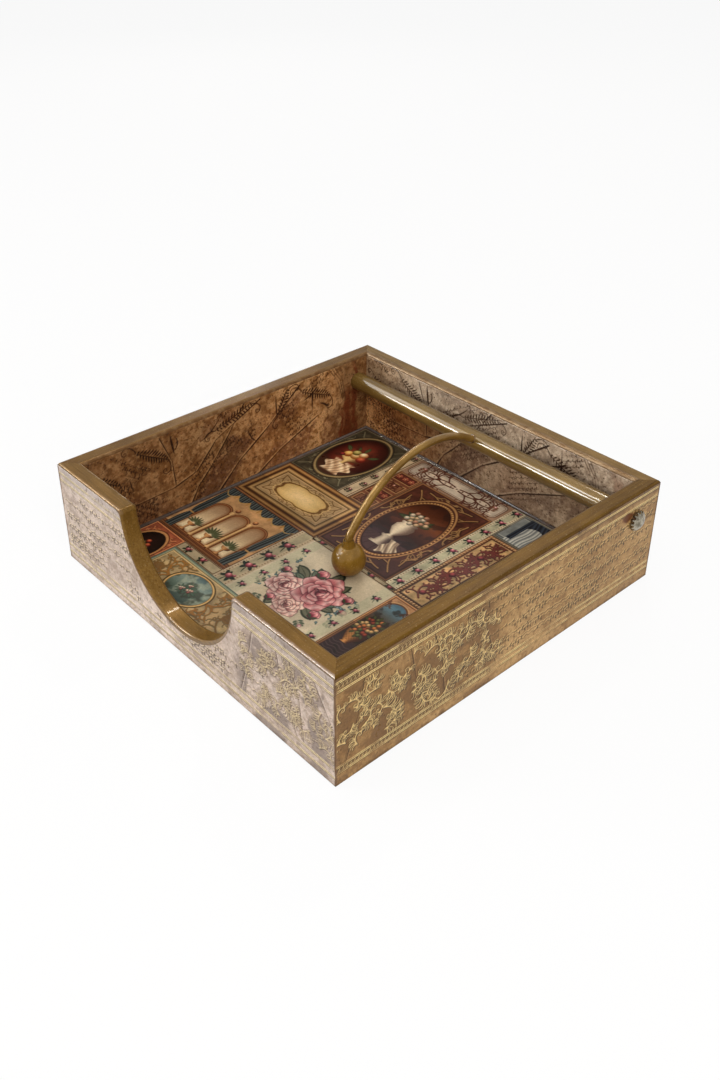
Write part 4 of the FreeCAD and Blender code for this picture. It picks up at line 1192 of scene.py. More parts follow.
def paintStillLife(sheet, w, h):
    fill(sheet, (74, 66, 46), 0.22)
    quarterScrolls(sheet, ((2.5, 3, 34, 0.8, 1), (12, 3, 26, 0.3, 1), (3, 13, 26, 1.3, -1), (2.5, 27, 18, 1.5, 1)),
            0.40, (132, 122, 88), (34, 30, 20), 0.85)
    reach = ovalReach(sheet, w / 2, h / 2 + 1, w * 0.40, h * 0.40)
    area(sheet, reach + 2.0, (64, 52, 34))
    outline(sheet, reach, (-1.2, 0.9, (150, 126, 80)), (-2.3, 0.4, (34, 27, 18)))
    within = inside(sheet, reach)
    lay(sheet, within, graded(reach, ((0, (38, 16, 12)), (3, (72, 28, 20)), (8, (112, 52, 32)), (14, (102, 50, 30)))))
    lay(sheet, within * ramp(cloud(sheet, 7, 3), 0.45, 0.8), (56, 26, 18), 0.6)
    lay(sheet, within * ramp(sheet.v, h * 0.36, h * 0.30), (62, 36, 24))
    spread = 8.5 - np.abs(sheet.u - w * 0.52) - 0.40 * np.abs(sheet.v - h * 0.31) + 1.3 * np.sin(sheet.v * 0.9)
    cloth = within * inside(sheet, spread) * ramp(sheet.v, h * 0.15, h * 0.19) * ramp(sheet.v, h * 0.42, h * 0.38)
    folds(sheet, cloth, (222, 194, 146), (164, 124, 82), 6.5, 0.8, 1.4)
    folds(sheet, cloth * 0.35, (232, 210, 168), (110, 76, 48), 2.7, -0.5, 0.9)
    turnedShape(sheet, w * 0.5, ((h * 0.36, 3.2), (h * 0.38, 1.2), (h * 0.42, 2.0), (h * 0.46, 6.0), (h * 0.50, 7.2)),
            (206, 172, 106), (84, 50, 28))
    # fruit: offset, part of the height, radius, light and dark colour
    fruit = ((-4.6, 0.53, 2.9, (226, 182, 100), (120, 60, 26)), (0.2, 0.55, 3.2, (230, 196, 130), (132, 80, 34)),
             (4.8, 0.53, 2.8, (192, 100, 62), (92, 30, 20)), (-2.0, 0.60, 2.5, (186, 168, 96), (88, 74, 32)),
             (2.6, 0.61, 2.6, (232, 204, 150), (142, 86, 44)), (-6.8, 0.485, 1.5, (150, 60, 50), (60, 18, 18)))
    for x, y, r, light, dark in fruit:
        orb(sheet, w / 2 + x, h * y, r, light, dark)
    foliage(sheet, w / 2 + np.array([-6.5, 6.0, 0.5, -3]), h * np.array([0.58, 0.60, 0.65, 0.64]),
            np.array([6.5, 6.5, 6.0, 4.0]), np.array([2.4, 0.7, 1.6, 2.0]), ((44, 48, 28), (92, 94, 54)))
    panelFrame(sheet, ((0, (46, 40, 28)), (0.6, (116, 104, 74)), (1.3, (52, 46, 32)), (1.8, (74, 66, 46))))


def paintSprigStrip(sheet, w, h):
    fill(sheet, (188, 176, 150), 0.06)
    for k, y in enumerate(np.arange(4.5, h - 2, 9.2)):
        sprigs(sheet, w / 2 + (0.7 if k % 2 else -0.7), y, 5.6, (58, 58, 46), (110, 60, 56), 1.5)
    for x in (0.7, w - 0.9):
        area(sheet, 0.28 - np.abs(sheet.u - x), (88, 66, 48))


def paintTiles(sheet, w, h):
    fill(sheet, (116, 74, 54), 0.14)
    rows = 4
    for k in range(rows):
        low = k * h / rows
        middle = low + h / rows / 2
        reach = boxReach(sheet, w / 2, middle, w / 2 - 1.2, h / rows / 2 - 0.7, 0.6)
        area(sheet, reach, (96, 50, 38) if k % 2 else (132, 92, 66))
        outline(sheet, reach, (0.5, 0.55, (170, 134, 96)), (1.2, 0.4, (62, 34, 24)))
        if k % 2:
            for x in (w / 2 - 4.2, w / 2, w / 2 + 4.2):
                for turn in np.arange(5) * 2 * math.pi / 5 + math.pi / 2:
                    orb(sheet, x + math.cos(turn) * 1.15, middle + math.sin(turn) * 1.15, 0.85, (186, 116, 92),
                            (92, 44, 34))
                orb(sheet, x, middle, 0.7, (214, 170, 124), (110, 60, 44))
        else:
            marks = mirrored(scrollwork(w / 2 - 0.6, middle - 2.2, 9.0, 2.5, -1.0, 0.34, 4), w / 2)
            draw(sheet, marks, (74, 38, 30))
            sprigs(sheet, w / 2, middle, 4.4, (80, 44, 32), (180, 130, 96), 1.57)
    panelFrame(sheet, ((0, (60, 38, 28)), (0.5, (150, 118, 84)), (0.9, (80, 52, 36))))


def paintLabel(sheet, w, h):
    fill(sheet, (176, 168, 152), 0.06)
    reach = boxReach(sheet, w / 2, h / 2, w / 2 - 1.6, h / 2 - 1.6, 3.0)
    area(sheet, -reach, (150, 130, 108))
    outline(sheet, reach, (0.2, 0.45, (92, 66, 50)), (1.2, 0.3, (120, 96, 78)))
    area(sheet, reach - 4.5, (196, 186, 168), 0.6)
    quarterScrolls(sheet, ((w / 2 - 1.5, h / 2 + 0.8, 30, 2.95, 1), (w / 2 - 12, h / 2 + 0.6, 24, 2.8, 1)), 0.50,
            (96, 62, 46), None, 1.0, 3)
    for x in (7.5, w - 7.5):
        sprigs(sheet, x, h / 2, 6.5, (116, 84, 64), (150, 112, 90), 1.57)
    draw(sheet, together(np.linspace(w / 2 - 20, w / 2 + 20, 11), h / 2, 0.5), (100, 64, 48))


def paintUrn(sheet, w, h):
    fill(sheet, (98, 62, 50), 0.16)
    lay(sheet, ramp(sheet.v, h * 0.35, h * 0.1), (84, 62, 62), 0.6)
    x0, y0, rx, ry = w / 2, h / 2 + 0.5, w * 0.315, h * 0.355
    quarterScrolls(sheet, ((4, 5, 42, 0.75, 1), (9, 4, 30, 0.1, 1), (4, 12, 30, 1.45, -1), (4, 24, 18, 1.4, 1)), 0.62,
            (66, 40, 28), None, 0.9)
    quarterScrolls(sheet, ((4.4, 5.4, 42, 0.75, 1), (9.4, 4.4, 30, 0.1, 1), (4.4, 12.4, 30, 1.45, -1),
            (4.4, 24.4, 18, 1.4, 1), (20, 3.6, 16, 0.3, -1)), 0.40, (178, 146, 104), (44, 24, 16), 0.95)
    reach = ovalReach(sheet, x0, y0, rx, ry)
    area(sheet, reach + 3.4, (90, 56, 42))
    outline(sheet, reach, (-2.6, 0.8, (184, 148, 106)), (-1.0, 1.1, (150, 112, 78)), (-0.3, 0.4, (50, 26, 18)))
    around = np.linspace(0, 2 * math.pi, 72, endpoint=False)
    draw(sheet, together(x0 + np.cos(around) * (rx + 1.8), y0 + np.sin(around) * (ry + 1.8), 0.5), (206, 172, 122))
    within = inside(sheet, reach)
    sky = graded(sheet.v, ((h * 0.15, (58, 40, 46)), (h * 0.36, (84, 62, 66)), (h * 0.44, (70, 36, 24)),
            (h * 0.62, (128, 78, 44)), (h * 0.80, (92, 52, 32)), (h * 0.9, (60, 32, 22))))
    lay(sheet, within, sky)
    lay(sheet, within * ramp(cloud(sheet, 5, 3), 0.5, 0.8), (52, 30, 22), 0.5)
    for k in range(3):
        hill = h * (0.42 - 0.035 * k) + 1.8 * np.sin(sheet.u * (0.25 + 0.1 * k) + k * 2)
        lay(sheet, within * inside(sheet, hill - sheet.v) * ramp(sheet.v, hill - 4, hill), (66 - 8 * k, 50 - 5 * k, 44),
                0.6)
    floorBand = within * inside(sheet, h * 0.335 - sheet.v)
    lay(sheet, floorBand, (92, 70, 70))
    for k in range(-4, 5):
        line = inside(sheet, 0.14 - np.abs(sheet.u - x0 - k * (2.0 + (h * 0.335 - sheet.v) * 0.32)) / 1.4)
        lay(sheet, line * floorBand, (58, 42, 42), 0.7)
    base = h * 0.235
    turnedShape(sheet, x0 - 1.0, ((base, 5.2), (base + 1.6, 5.0), (base + 2.0, 3.4), (base + 7.0, 2.9),
            (base + 8.0, 4.2), (base + 9.2, 4.2)), (206, 196, 178), (96, 80, 76))
    turnedShape(sheet, x0 - 1.0, ((base + 9.2, 2.6), (base + 10.6, 1.3), (base + 12, 2.6), (base + 16, 5.4),
            (base + 20, 5.9), (base + 22, 4.4), (base + 23, 5.2), (base + 24, 5.0)), (238, 228, 206), (120, 100, 88))
    top = base + 25.5
    chance = sheet.chance
    heading = np.linspace(0.1, 3.0, 11)
    foliage(sheet, x0 - 1 + np.cos(heading) * 3, top + np.sin(heading) * 1.5, chance.uniform(5, 8, 11), heading,
            ((48, 56, 36), (96, 104, 62)), 0.17)
    flowers = ((240, 228, 206), (232, 206, 170), (214, 168, 140))
    bunch(sheet, x0 - 1, top + 3.0, 16, 1.55, 1.15, 0.85, 1.5, flowers, 0.55)
    spread = base + 8 - sheet.v
    fall = 2.0 + 0.42 * spread + 0.7 * np.sin(sheet.v * 0.8) - np.abs(sheet.u - x0 - 4.6 - 0.34 * spread)
    hem = sheet.v - base + 3.5 + np.sin(sheet.u)
    drapery = within * inside(sheet, fall) * inside(sheet, spread) * inside(sheet, hem)
    folds(sheet, drapery, (222, 210, 186), (140, 120, 104), 4.4, 0.5, 1.1)
    folds(sheet, drapery * 0.35, (236, 228, 208), (100, 82, 74), 2.1, 0.3, 0.8)
    panelFrame(sheet, ((0, (58, 34, 26)), (0.7, (160, 126, 92)), (1.2, (120, 84, 60)), (1.8, (62, 36, 28)),
            (2.4, (98, 62, 50))))


def paintRosebudStrip(sheet, w, h):
    fill(sheet, (170, 166, 138), 0.06)
    lay(sheet, ramp(sheet.u, w * 0.30, w * 0.16) + ramp(sheet.u, w * 0.70, w * 0.84), (196, 186, 158), 0.85)
    for x in (w * 0.12, w * 0.88):
        y = np.arange(0.8, h, 1.6)
        draw(sheet, together(x, y, 0.34), (128, 106, 78))
    rosebuds(sheet, w / 2, np.arange(5, h - 2, 11.5), min(4.3, w * 0.40))


def paintRosebudRow(sheet, w, h):
    fill(sheet, (174, 168, 140), 0.06)
    rosebuds(sheet, np.arange(6, w - 2, 11.5), h / 2, 2.8)
    area(sheet, 0.3 - np.abs(edge(sheet) - 0.4), (120, 98, 72))


def paintAcanthus(sheet, w, h):
    fill(sheet, (176, 140, 100), 0.14)
    stops = ((0, (60, 36, 26)), (0.5, (152, 112, 80)), (2.1, (128, 84, 58)), (2.5, (58, 30, 22)), (3.0, (150, 114, 86)),
            (3.4, (176, 140, 100)))
    panelFrame(sheet, stops)
    draw(sheet, beadRow(1.35, 1.35, w - 1.35, h - 1.35, 1.7, 0.52), (214, 176, 130))
    draw(sheet, beadRow(1.5, 1.2, w - 1.2, h - 1.5, 1.7, 0.26), (84, 48, 34))
    feet = [(level, 1 if k % 2 else -1) for k, level in enumerate(np.arange(6, h - 8, 9.5))]
    climbing(sheet, feet, ((-1.5, 0, 21, -0.9, 1), (1.0, 3.5, 16.5, 0.9, -1), (0, 6, 12, -0.2, 1)), 0.32, 3, 3.6,
            (134, 74, 62), (70, 34, 30), 0.85, (0.3, -0.35, 0.16))
    for level in np.arange(10, h - 8, 19):
        orb(sheet, w / 2, level, 1.7, (168, 92, 84), (78, 28, 30))


def paintPleats(sheet, w, h):
    fill(sheet, (140, 142, 140), 0.08)
    for x in np.linspace(3, w - 3, 5):
        reach = boxReach(sheet, x, h / 2, w / 11, h / 2 - 2.4, 0.4)
        outline(sheet, reach, (0, 0.5, (96, 98, 98)), (0.9, 0.4, (188, 186, 176)))
    middle = w * 0.24
    reach = boxReach(sheet, middle, h / 2, 7.4, h / 2 - 1.2)
    folds(sheet, inside(sheet, reach), (208, 206, 198), (128, 130, 132), 1.9, 0.0, 0.5)
    swag = inside(sheet, reach) * inside(sheet, 5.5 + 0.09 * (sheet.u - middle) ** 2 - (h - 1.2 - sheet.v))
    folds(sheet, swag, (74, 84, 98), (24, 28, 38), 2.4, 0.4)
    for side in (-1, 1):
        tail = inside(sheet, 1.5 - np.abs(sheet.u - middle - side * 6.3)) * inside(sheet, sheet.v - 4.0)
        folds(sheet, tail, (70, 80, 94), (22, 26, 36), 1.4)
    second = boxReach(sheet, w * 0.70, h / 2, 8.5, h / 2 - 3.2, 1.2)
    area(sheet, second, (166, 164, 152))
    outline(sheet, second, (0.3, 0.5, (90, 84, 76)))
    posy(sheet, w * 0.70, h / 2, 5.0, ((190, 130, 126), (222, 206, 184), (140, 150, 166)),
            ((62, 76, 62), (112, 124, 96)))
    panelFrame(sheet, ((0, (64, 60, 56)), (0.5, (176, 168, 150)), (1.0, (98, 92, 84)), (1.5, (140, 142, 140))))


def paintCartouche(sheet, w, h):
    fill(sheet, (150, 124, 84), 0.10)
    area(sheet, edge(sheet) - 8.2, (168, 144, 100))
    quarterScrolls(sheet, ((9.5, 9.5, 26, 0.25, 1), (9.5, 9.5, 20, 1.3, -1), (20, 10.5, 15, 0.3, -1),
            (w / 2 - 1, 9.8, 14, 2.8, -1)), 0.32, (92, 64, 34), (196, 172, 120), 0.9, 4)
    across, up = np.abs(sheet.u - w / 2) / (w * 0.27), np.abs(sheet.v - h / 2) / (h * 0.20)
    # the cartouche: a super-oval whose middles are drawn in
    reach = (1 - (across ** 2.6 + up ** 2.6) ** (1 / 2.6)) * 8
    reach = reach - 0.9 * np.exp(-(across / 0.16) ** 2) - 0.8 * np.exp(-(up / 0.3) ** 2)
    area(sheet, reach, graded(reach, ((0, (196, 168, 104)), (3, (214, 190, 130)), (6, (224, 202, 146)))))
    outline(sheet, reach, (-0.1, 0.6, (112, 80, 42)), (-1.0, 0.35, (206, 180, 120)))
    panelFrame(sheet, ((0, (56, 34, 20)), (0.7, (128, 92, 52)), (1.6, (176, 142, 88)), (2.6, (116, 82, 46)),
            (3.2, (58, 36, 20)), (4.0, (88, 62, 36)), (4.6, (158, 126, 78)), (5.4, (190, 162, 108)),
            (6.4, (138, 112, 70)), (7.0, (70, 48, 28)), (7.5, (184, 160, 112)), (8.2, (162, 138, 96))))


def paintAlcoves(sheet, w, h):
    # three niches with ferns in bowls between columns, swags above and a gathered curtain to each side
    fill(sheet, (178, 142, 98), 0.10)
    area(sheet, 4.2 - sheet.v, (132, 92, 58))
    for low in (0.9, 2.4, 3.7):
        area(sheet, 0.25 - np.abs(sheet.v - low), (80, 48, 28))
    half = w * 0.098
    for number, x in enumerate((w * 0.24, w * 0.5, w * 0.76)):
        reach = archReach(sheet, x, 4.6, half, h * 0.58)
        area(sheet, reach + 1.5, (156, 112, 70))
        outline(sheet, reach, (-1.4, 0.5, (90, 52, 32)), (-0.3, 0.6, (108, 64, 38)))
        glow = graded(sheet.v, ((4, (222, 206, 168)), (h * 0.35, (206, 184, 146)), (h * 0.7, (150, 118, 84))))
        area(sheet, reach - 0.3, glow)
        lay(sheet, inside(sheet, reach - 0.3) * ramp(reach, 2.4, 0.2), (124, 88, 56), 0.45)
        turnedShape(sheet, x, ((4.6, 2.2), (5.4, 2.0), (6.0, 0.7), (9.0, 0.7), (9.8, 2.4), (11.4, 3.1)), (196, 150, 98),
                (92, 54, 32))
        heading = np.linspace(0.25, 2.9, 9)
        foliage(sheet, x + np.cos(heading) * 0.8, 11.6 + np.sin(heading) * 0.6, 5.2 + number % 2, heading,
                ((58, 64, 44), (118, 122, 78)), 0.10)
    for x in (w * 0.37, w * 0.63):
        turnedShape(sheet, x, ((4.6, 1.9), (5.6, 1.9), (5.7, 1.2), (h * 0.62, 1.0), (h * 0.63, 1.9), (h * 0.67, 2.1)),
                (210, 176, 122), (112, 74, 44))
        orb(sheet, x, h * 0.72, 1.5, (196, 146, 96), (92, 50, 30))
    for x, lean in ((w * 0.075, 0.05), (w * 0.925, -0.05)):
        width = 2.6 - 1.1 * np.exp(-((sheet.v - h * 0.36) / 3.0) ** 2)
        cover = inside(sheet, width - np.abs(sheet.u - x - lean * (h * 0.5 - sheet.v))) * inside(sheet, sheet.v - 2.0)
        folds(sheet, cover, (100, 106, 98), (26, 30, 28), 1.7, lean, 0.15)
        lay(sheet, cover * inside(sheet, 0.5 - np.abs(sheet.v - h * 0.36)), (172, 136, 84))

    # swags with gold fringe and tassels
    scallop = np.abs(np.sin(sheet.u * math.pi / (w / 6)))
    cover = inside(sheet, 2.6 + 3.6 * scallop - (h - 1.4 - sheet.v))
    folds(sheet, cover, (100, 106, 98), (26, 30, 28), w / 34, 0.15)
    outline(sheet, (h - 1.4 - sheet.v) - (2.6 + 3.6 * scallop), (0.0, 0.6, (172, 142, 88)))
    for x in np.arange(7) * w / 6:
        draw(sheet, leaves(x, h - 3.4, 4.4, -math.pi / 2, 0.6), (166, 128, 74))
    area(sheet, 1.4 - (h - sheet.v), (132, 92, 58))
    area(sheet, 0.22 - np.abs(h - 1.4 - sheet.v), (60, 36, 24))
    panelFrame(sheet, ((0, (66, 40, 26)), (0.6, (150, 112, 72))))


def paintPeonies(sheet, w, h):
    fill(sheet, (208, 196, 168), 0.04, 8)
    lay(sheet, ramp(cloud(sheet, 18, 2), 0.5, 0.9), (196, 182, 150), 0.5)
    chance = sheet.chance
    cx, cy = w * 0.50, h * 0.47

    # airy sprays of small blue flowers to both sides
    for side, count in ((-1, 46), (1, 52)):
        x = cx + side * (9 + 13 * chance.random(count) ** 0.8)
        y = cy + chance.normal(2.5, 5.5, count)
        stems = np.arctan2(y - cy, x - cx)
        reach = np.hypot(x - cx, y - cy)
        draw(sheet, leaves(cx + 0 * x, cy + 0 * x, reach, stems, 0.16, 0.25, 40), (112, 124, 98), 0.75)
        draw(sheet, leaves(x, y, chance.uniform(1.6, 3.0, count), stems + chance.normal(0, 0.9, count), 0.42),
                (80, 104, 86), 0.95)
        for tone, grow in (((66, 92, 92), 0.85), ((134, 160, 158), 0.45)):
            draw(sheet, together(x, y, chance.uniform(0.6, 1.0, count) * grow), tone)

    # large leaves behind the flowers, then the flowers
    heading = np.array([0.1, 0.65, 1.2, 1.8, 2.4, 3.0, 3.6, 4.2, 4.8, 5.4, 5.9])
    out = np.array([13, 11, 12, 11, 12, 13, 11, 12, 11, 12, 12])
    for grow, tones in ((1.25, ((56, 66, 48), (128, 130, 102))), (0.85, ((52, 68, 54), (122, 138, 112)))):
        foliage(sheet, cx + np.cos(heading + grow) * out * 0.72, cy + np.sin(heading + grow) * out * 0.60,
                out * grow * 0.8, heading + grow + 0.15, tones, 0.24)
    blossom(sheet, cx - 10.5, cy - 4.6, 17, ((142, 84, 84), (212, 162, 152), (240, 216, 202)), 1.1)
    blossom(sheet, cx + 1.0, cy - 12.6, 15, ((152, 100, 94), (214, 170, 156), (238, 214, 198)), 2.0)
    blossom(sheet, cx + 4.6, cy + 3.4, 23, ((126, 58, 66), (202, 128, 126), (238, 196, 188)), 0.3)
    buds = ((-4.5, 12.5, 2.6), (17, 8.5, 2.1), (-19.0, 3.2, 1.9), (14.5, -9.0, 2.3), (-8.5, -15.0, 2.0),
            (21.5, 1.0, 1.5))
    pinks = ((124, 52, 64), (200, 128, 128), (232, 184, 176))
    for x, y, r in buds:
        petals(sheet, cx + x, cy + y - r, 0.0, r * 2.2, r * 1.5, (1.2, 1.9, 1.57), pinks)
        draw(sheet, leaves(cx + x, cy + y - r, r * 1.5, np.array([0.7, 2.4]), r * 0.3, 0.5), (62, 78, 54))
    for x, y in ((cx - 21, cy - 10), (cx - 13, cy - 19), (cx + 14, cy - 17), (cx + 23, cy - 8)):
        sprigs(sheet, x, y, 6.5, (84, 98, 76), (168, 128, 122), chance.uniform(0, 6))
    # a faint line of sprigs to the left and right of the bouquet
    for x in (4.0, w - 4.0):
        area(sheet, 3.0 - np.abs(sheet.u - x), (190, 188, 156), 0.7)
        rosebuds(sheet, x, np.arange(6, h - 3, 12.5), 2.3)


def paintBasket(sheet, w, h):
    fill(sheet, (178, 140, 104), 0.10)
    reach = archReach(sheet, w / 2, 4, w * 0.36, h - 4 - w * 0.36)
    area(sheet, reach + 1.2, (112, 74, 50))
    outline(sheet, reach, (-1.1, 0.45, (206, 172, 128)))
    area(sheet, reach, graded(sheet.v, ((4, (60, 44, 44)), (h * 0.30, (66, 50, 50)), (h * 0.36, (58, 40, 30)),
            (h * 0.66, (92, 76, 62)), (h * 0.85, (108, 138, 150)), (h, (74, 96, 112)))))
    within = inside(sheet, reach - 0.3)
    lay(sheet, within * ramp(cloud(sheet, 4, 3), 0.55, 0.8), (44, 34, 28), 0.6)
    turnedShape(sheet, w / 2, ((h * 0.26, 2.4), (h * 0.28, 1.6), (h * 0.31, 2.8), (h * 0.38, 4.6), (h * 0.42, 5.0)),
            (190, 140, 84), (74, 44, 26))
    weave = 0.5 + 0.5 * np.sin(sheet.u * 4.2) * np.sin(sheet.v * 4.2)
    weave = within * ((sheet.v > h * 0.30) & (sheet.v < h * 0.42)) * weave
    lay(sheet, weave * inside(sheet, 4.2 - np.abs(sheet.u - w / 2)), (70, 42, 26), 0.45)
    fruit = ((216, 142, 84), (226, 190, 132), (176, 90, 66), (120, 124, 76))
    bunch(sheet, w / 2, h * 0.53, 26, 0.98, 0.95, 1.5, 1.15, fruit)
    heading = np.linspace(0, 2 * math.pi, 12, endpoint=False)
    foliage(sheet, w / 2 + np.cos(heading) * 4.2, h * 0.53 + np.sin(heading) * 6.5, 2.6, heading,
            ((52, 56, 36), (108, 112, 66)), 0.25)
    for k in range(6):
        y = h * 0.05 + k * 1.9
        lay(sheet, within * inside(sheet, 0.2 - np.abs(sheet.v - y - 0.5 * np.sin(sheet.u))), (120, 100, 96), 0.5)
    panelFrame(sheet, ((0, (70, 44, 30)), (0.6, (196, 158, 114)), (1.3, (98, 62, 42)), (1.8, (178, 140, 104))))
    quarterScrolls(sheet, ((2.6, h - 9, 6, 0.9, 1),), 0.3, (96, 58, 38), None, 0.9, 3, True)


def paintLeafOval(sheet, w, h):
    fill(sheet, (140, 84, 62), 0.14)
    quarterScrolls(sheet, ((3, 3.5, 10, 0.8, 1), (3.5, 9, 7, 1.4, -1)), 0.36, (196, 140, 100), (80, 40, 28), 0.8)
    reach = ovalReach(sheet, w / 2, h / 2, w * 0.38, h * 0.36)
    area(sheet, reach + 1.4, (176, 134, 92))
    outline(sheet, reach, (-1.3, 0.4, (74, 40, 28)))
    area(sheet, reach, graded(reach, ((0, (24, 16, 14)), (4, (44, 28, 24)))))
    heading = np.linspace(0.2, 2.9, 8)
    foliage(sheet, w / 2 + np.cos(heading) * 1.0, h * 0.36 + np.linspace(0, 1, 8) * 4, 6.0, heading,
            ((70, 62, 34), (168, 150, 92)), 0.18)
    for x, y in ((-2.5, 0.52), (2.2, 0.55), (0, 0.62)):
        orb(sheet, w / 2 + x, h * y, 1.4, (214, 120, 84), (92, 30, 26))
    panelFrame(sheet, ((0, (74, 38, 28)), (0.6, (190, 138, 98)), (1.2, (96, 52, 38)), (1.7, (140, 84, 62))))


def paintMedallion(sheet, w, h):
    fill(sheet, (164, 150, 112), 0.14)
    lay(sheet, ramp(cloud(sheet, 9, 3), 0.5, 0.9), (186, 162, 118), 0.6)
    x0, y0, r = w * 0.46, h * 0.48, h * 0.36
    quarterScrolls(sheet, ((4, 5, 22, 0.5, 1), (15, 4.2, 18, 0.2, -1), (4, 11, 14, 1.2, -1)), 0.34, (128, 98, 56),
            (84, 84, 64), 0.85, 4)
    for side in (-1, 1):
        headings = (math.pi / 2 - side * 1.3, -math.pi / 2 + side * 1.2)
        spray = scrollwork(x0 + side * (r + 1.5), (y0 - 1, y0 + 1), (26.0, 20), headings, (side, -side), 0.42, 5)
        edged(sheet, spray, (150, 112, 60), (92, 92, 70), 0.8, (0.25, -0.25, 0.12))
    reach = ovalReach(sheet, x0, y0, r * 1.25, r)
    area(sheet, reach + 1.5, (136, 108, 66))
    outline(sheet, reach, (-1.3, 0.5, (78, 66, 44)), (-0.6, 0.5, (214, 190, 130)))
    within = inside(sheet, reach)
    lay(sheet, within, graded(sheet.v, ((y0 - r, (52, 66, 58)), (y0 - r * 0.2, (96, 116, 104)),
            (y0 + r * 0.4, (132, 152, 144)), (y0 + r, (84, 106, 106)))))
    lay(sheet, within * ramp(cloud(sheet, 4, 3), 0.5, 0.8), (170, 180, 160), 0.55)
    lay(sheet, within * ramp(cloud(sheet, 5, 3), 0.55, 0.8), (58, 62, 48), 0.6)
    for x, y, size in ((-2.6, -1.4, 3.2), (1.8, -0.4, 3.6), (-0.6, 2.2, 2.6)):
        posy(sheet, x0 + x, y0 + y, size, ((206, 176, 160), (226, 214, 190), (178, 120, 112)),
                ((54, 76, 66), (110, 134, 104)), 5)
    panelFrame(sheet, ((0, (70, 82, 74)), (0.8, (112, 128, 112)), (1.5, (150, 156, 130)), (1.9, (98, 88, 60)),
            (2.4, (196, 178, 130)), (2.8, (166, 158, 122))))


def paintStripes(sheet, w, h):
    fill(sheet, (202, 190, 160), 0.05)
    band = (np.sin(sheet.u * math.pi / 4.0) > 0)
    lay(sheet, band.astype(float), (188, 178, 144), 0.8)
    for k, x in enumerate(np.arange(6, w - 2, 8.0)):
        for j, y in enumerate(np.arange(5 + 3.5 * (k % 2), h - 2, 8.5)):
            rosebud(sheet, x, y, 2.2, 0.3 if (k + j) % 2 else -0.3)
    panelFrame(sheet, ((0, (110, 84, 58)), (0.5, (196, 168, 120)), (0.9, (202, 190, 160))))


def paintDamask(sheet, w, h):
    fill(sheet, (112, 80, 58), 0.12)
    feet = [(level, turn) for level in np.arange(7, h - 6, 17.0) for turn in (-1, 1)]
    climbing(sheet, feet, ((0.8, 0, 15, -1.0, 1), (2.0, 4, 11, -0.5, -1), (6.5, 8.5, 9, 0.4, 1)), 0.46, 5, 2.8,
            (168, 132, 92), (60, 38, 26), 0.8, (0.2, -0.25, 0.12))
    for level in np.arange(15, h - 6, 17.0):
        sprigs(sheet, w / 2, level, 7.0, (150, 112, 76), (196, 150, 110), 1.57)
    panelFrame(sheet, ((0, (58, 36, 26)), (0.6, (160, 122, 82)), (1.3, (78, 50, 34)), (2.2, (112, 80, 58))))


floorPieces = {
    # name: left, near, right, far edge in mm, painter, gain and depth of the colour or of its red, green and blue
    "floor_still_life": (-85.6, 31, -48, 85.6, paintStillLife, (1.16, 1.18, 1.28), (1.12, 1.12, 1.1)),
    "floor_sprigs_left": (-48, 31, -40, 85.6, paintSprigStrip, (1.10, 1.06, 1.02), (1.15, 1.2, 1.2)),
    "floor_tiles": (-40, 31, -24, 69, paintTiles, (1.12, 1.10, 1.08), 1.2),
    "floor_label": (-40, 69, 24, 85.6, paintLabel, (1.32, 1.31, 1.30), (1.45, 1.5, 1.45)),
    "floor_urn": (-24, -3, 24, 69, paintUrn, (1.06, 1.02, 0.98), 1.3),
    "floor_rosebuds_right": (24, -3, 31, 85.6, paintRosebudStrip, (1.20, 1.18, 1.22), 1.3),
    # the acanthus's gain is large partly as painted light, lifting it out of the right wall's shade
    "floor_acanthus": (31, -6, 50, 60, paintAcanthus, (1.36, 1.52, 1.68), (1.7, 1.6, 1.55)),
    "floor_pleats": (31, 60, 85.6, 85.6, paintPleats, (1.06, 1.06, 1.04), 1.3),
    "floor_cartouche": (-85.6, -5, -24, 31, paintCartouche, (1.04, 1.0, 1.04), 1.15),
    "floor_rosebuds_middle": (-32, -58, -22, -5, paintRosebudStrip, (1.03, 0.97, 0.97), 1.3),
    "floor_alcoves": (-85.6, -52, -32, -5, paintAlcoves, (1.07, 1.07, 1.08), (1.25, 1.25, 1.2)),
    "floor_peonies": (-22, -58, 34, -6, paintPeonies, (0.97, 0.96, 0.95), (1.1, 1.15, 1.1)),
    "floor_peonies_edge": (-24, -6, 31, -3, paintRosebudRow, (1.03, 0.97, 0.97), 1.3),
    "floor_basket": (34, -58, 50, -6, paintBasket, 1.10, 1.3),
    "floor_leaf_oval": (-85.6, -85.6, -62, -52, paintLeafOval, (1.10, 1.05, 1.0), 1.15),
    "floor_rosebuds_near": (-62, -58, -32, -52, paintRosebudRow, (1.03, 0.97, 0.97), 1.3),
    "floor_medallion": (-62, -85.6, 6, -58, paintMedallion, (1.10, 1.04, 1.0), (1.2, 1.2, 1.15)),
    "floor_stripes": (6, -85.6, 50, -58, paintStripes, (1.04, 1.0, 1.0), 1.15),
    "floor_damask": (50, -85.6, 85.6, 60, paintDamask, 1.10, 1.3),
}


def addFloorPieces():
    finish = printedPaper("floorPrints")
    for number, (name, (left, near, right, far, painter, gain, depth)) in enumerate(floorPieces.items()):
        sheet = Sheet(right - left, far - near, floorPitch, 100 + number)
        painter(sheet, sheet.width, sheet.height)
        sheet.colour = np.clip(sheet.colour, 0.004, 1) ** np.array(depth) * np.array(gain)
        grain(sheet, 0.03)
        ageSheet(sheet, 0.06)
        piece = paperShell(name, sheet, (sheet.u, sheet.v), (left, near, floorTop), (1, 0, 0), (0, 1, 0), 0.0)
        piece.data.materials.append(finish)
        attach(piece, "tray")
        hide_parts("floor_print")


addFloorPieces()
print("floor prints ready")

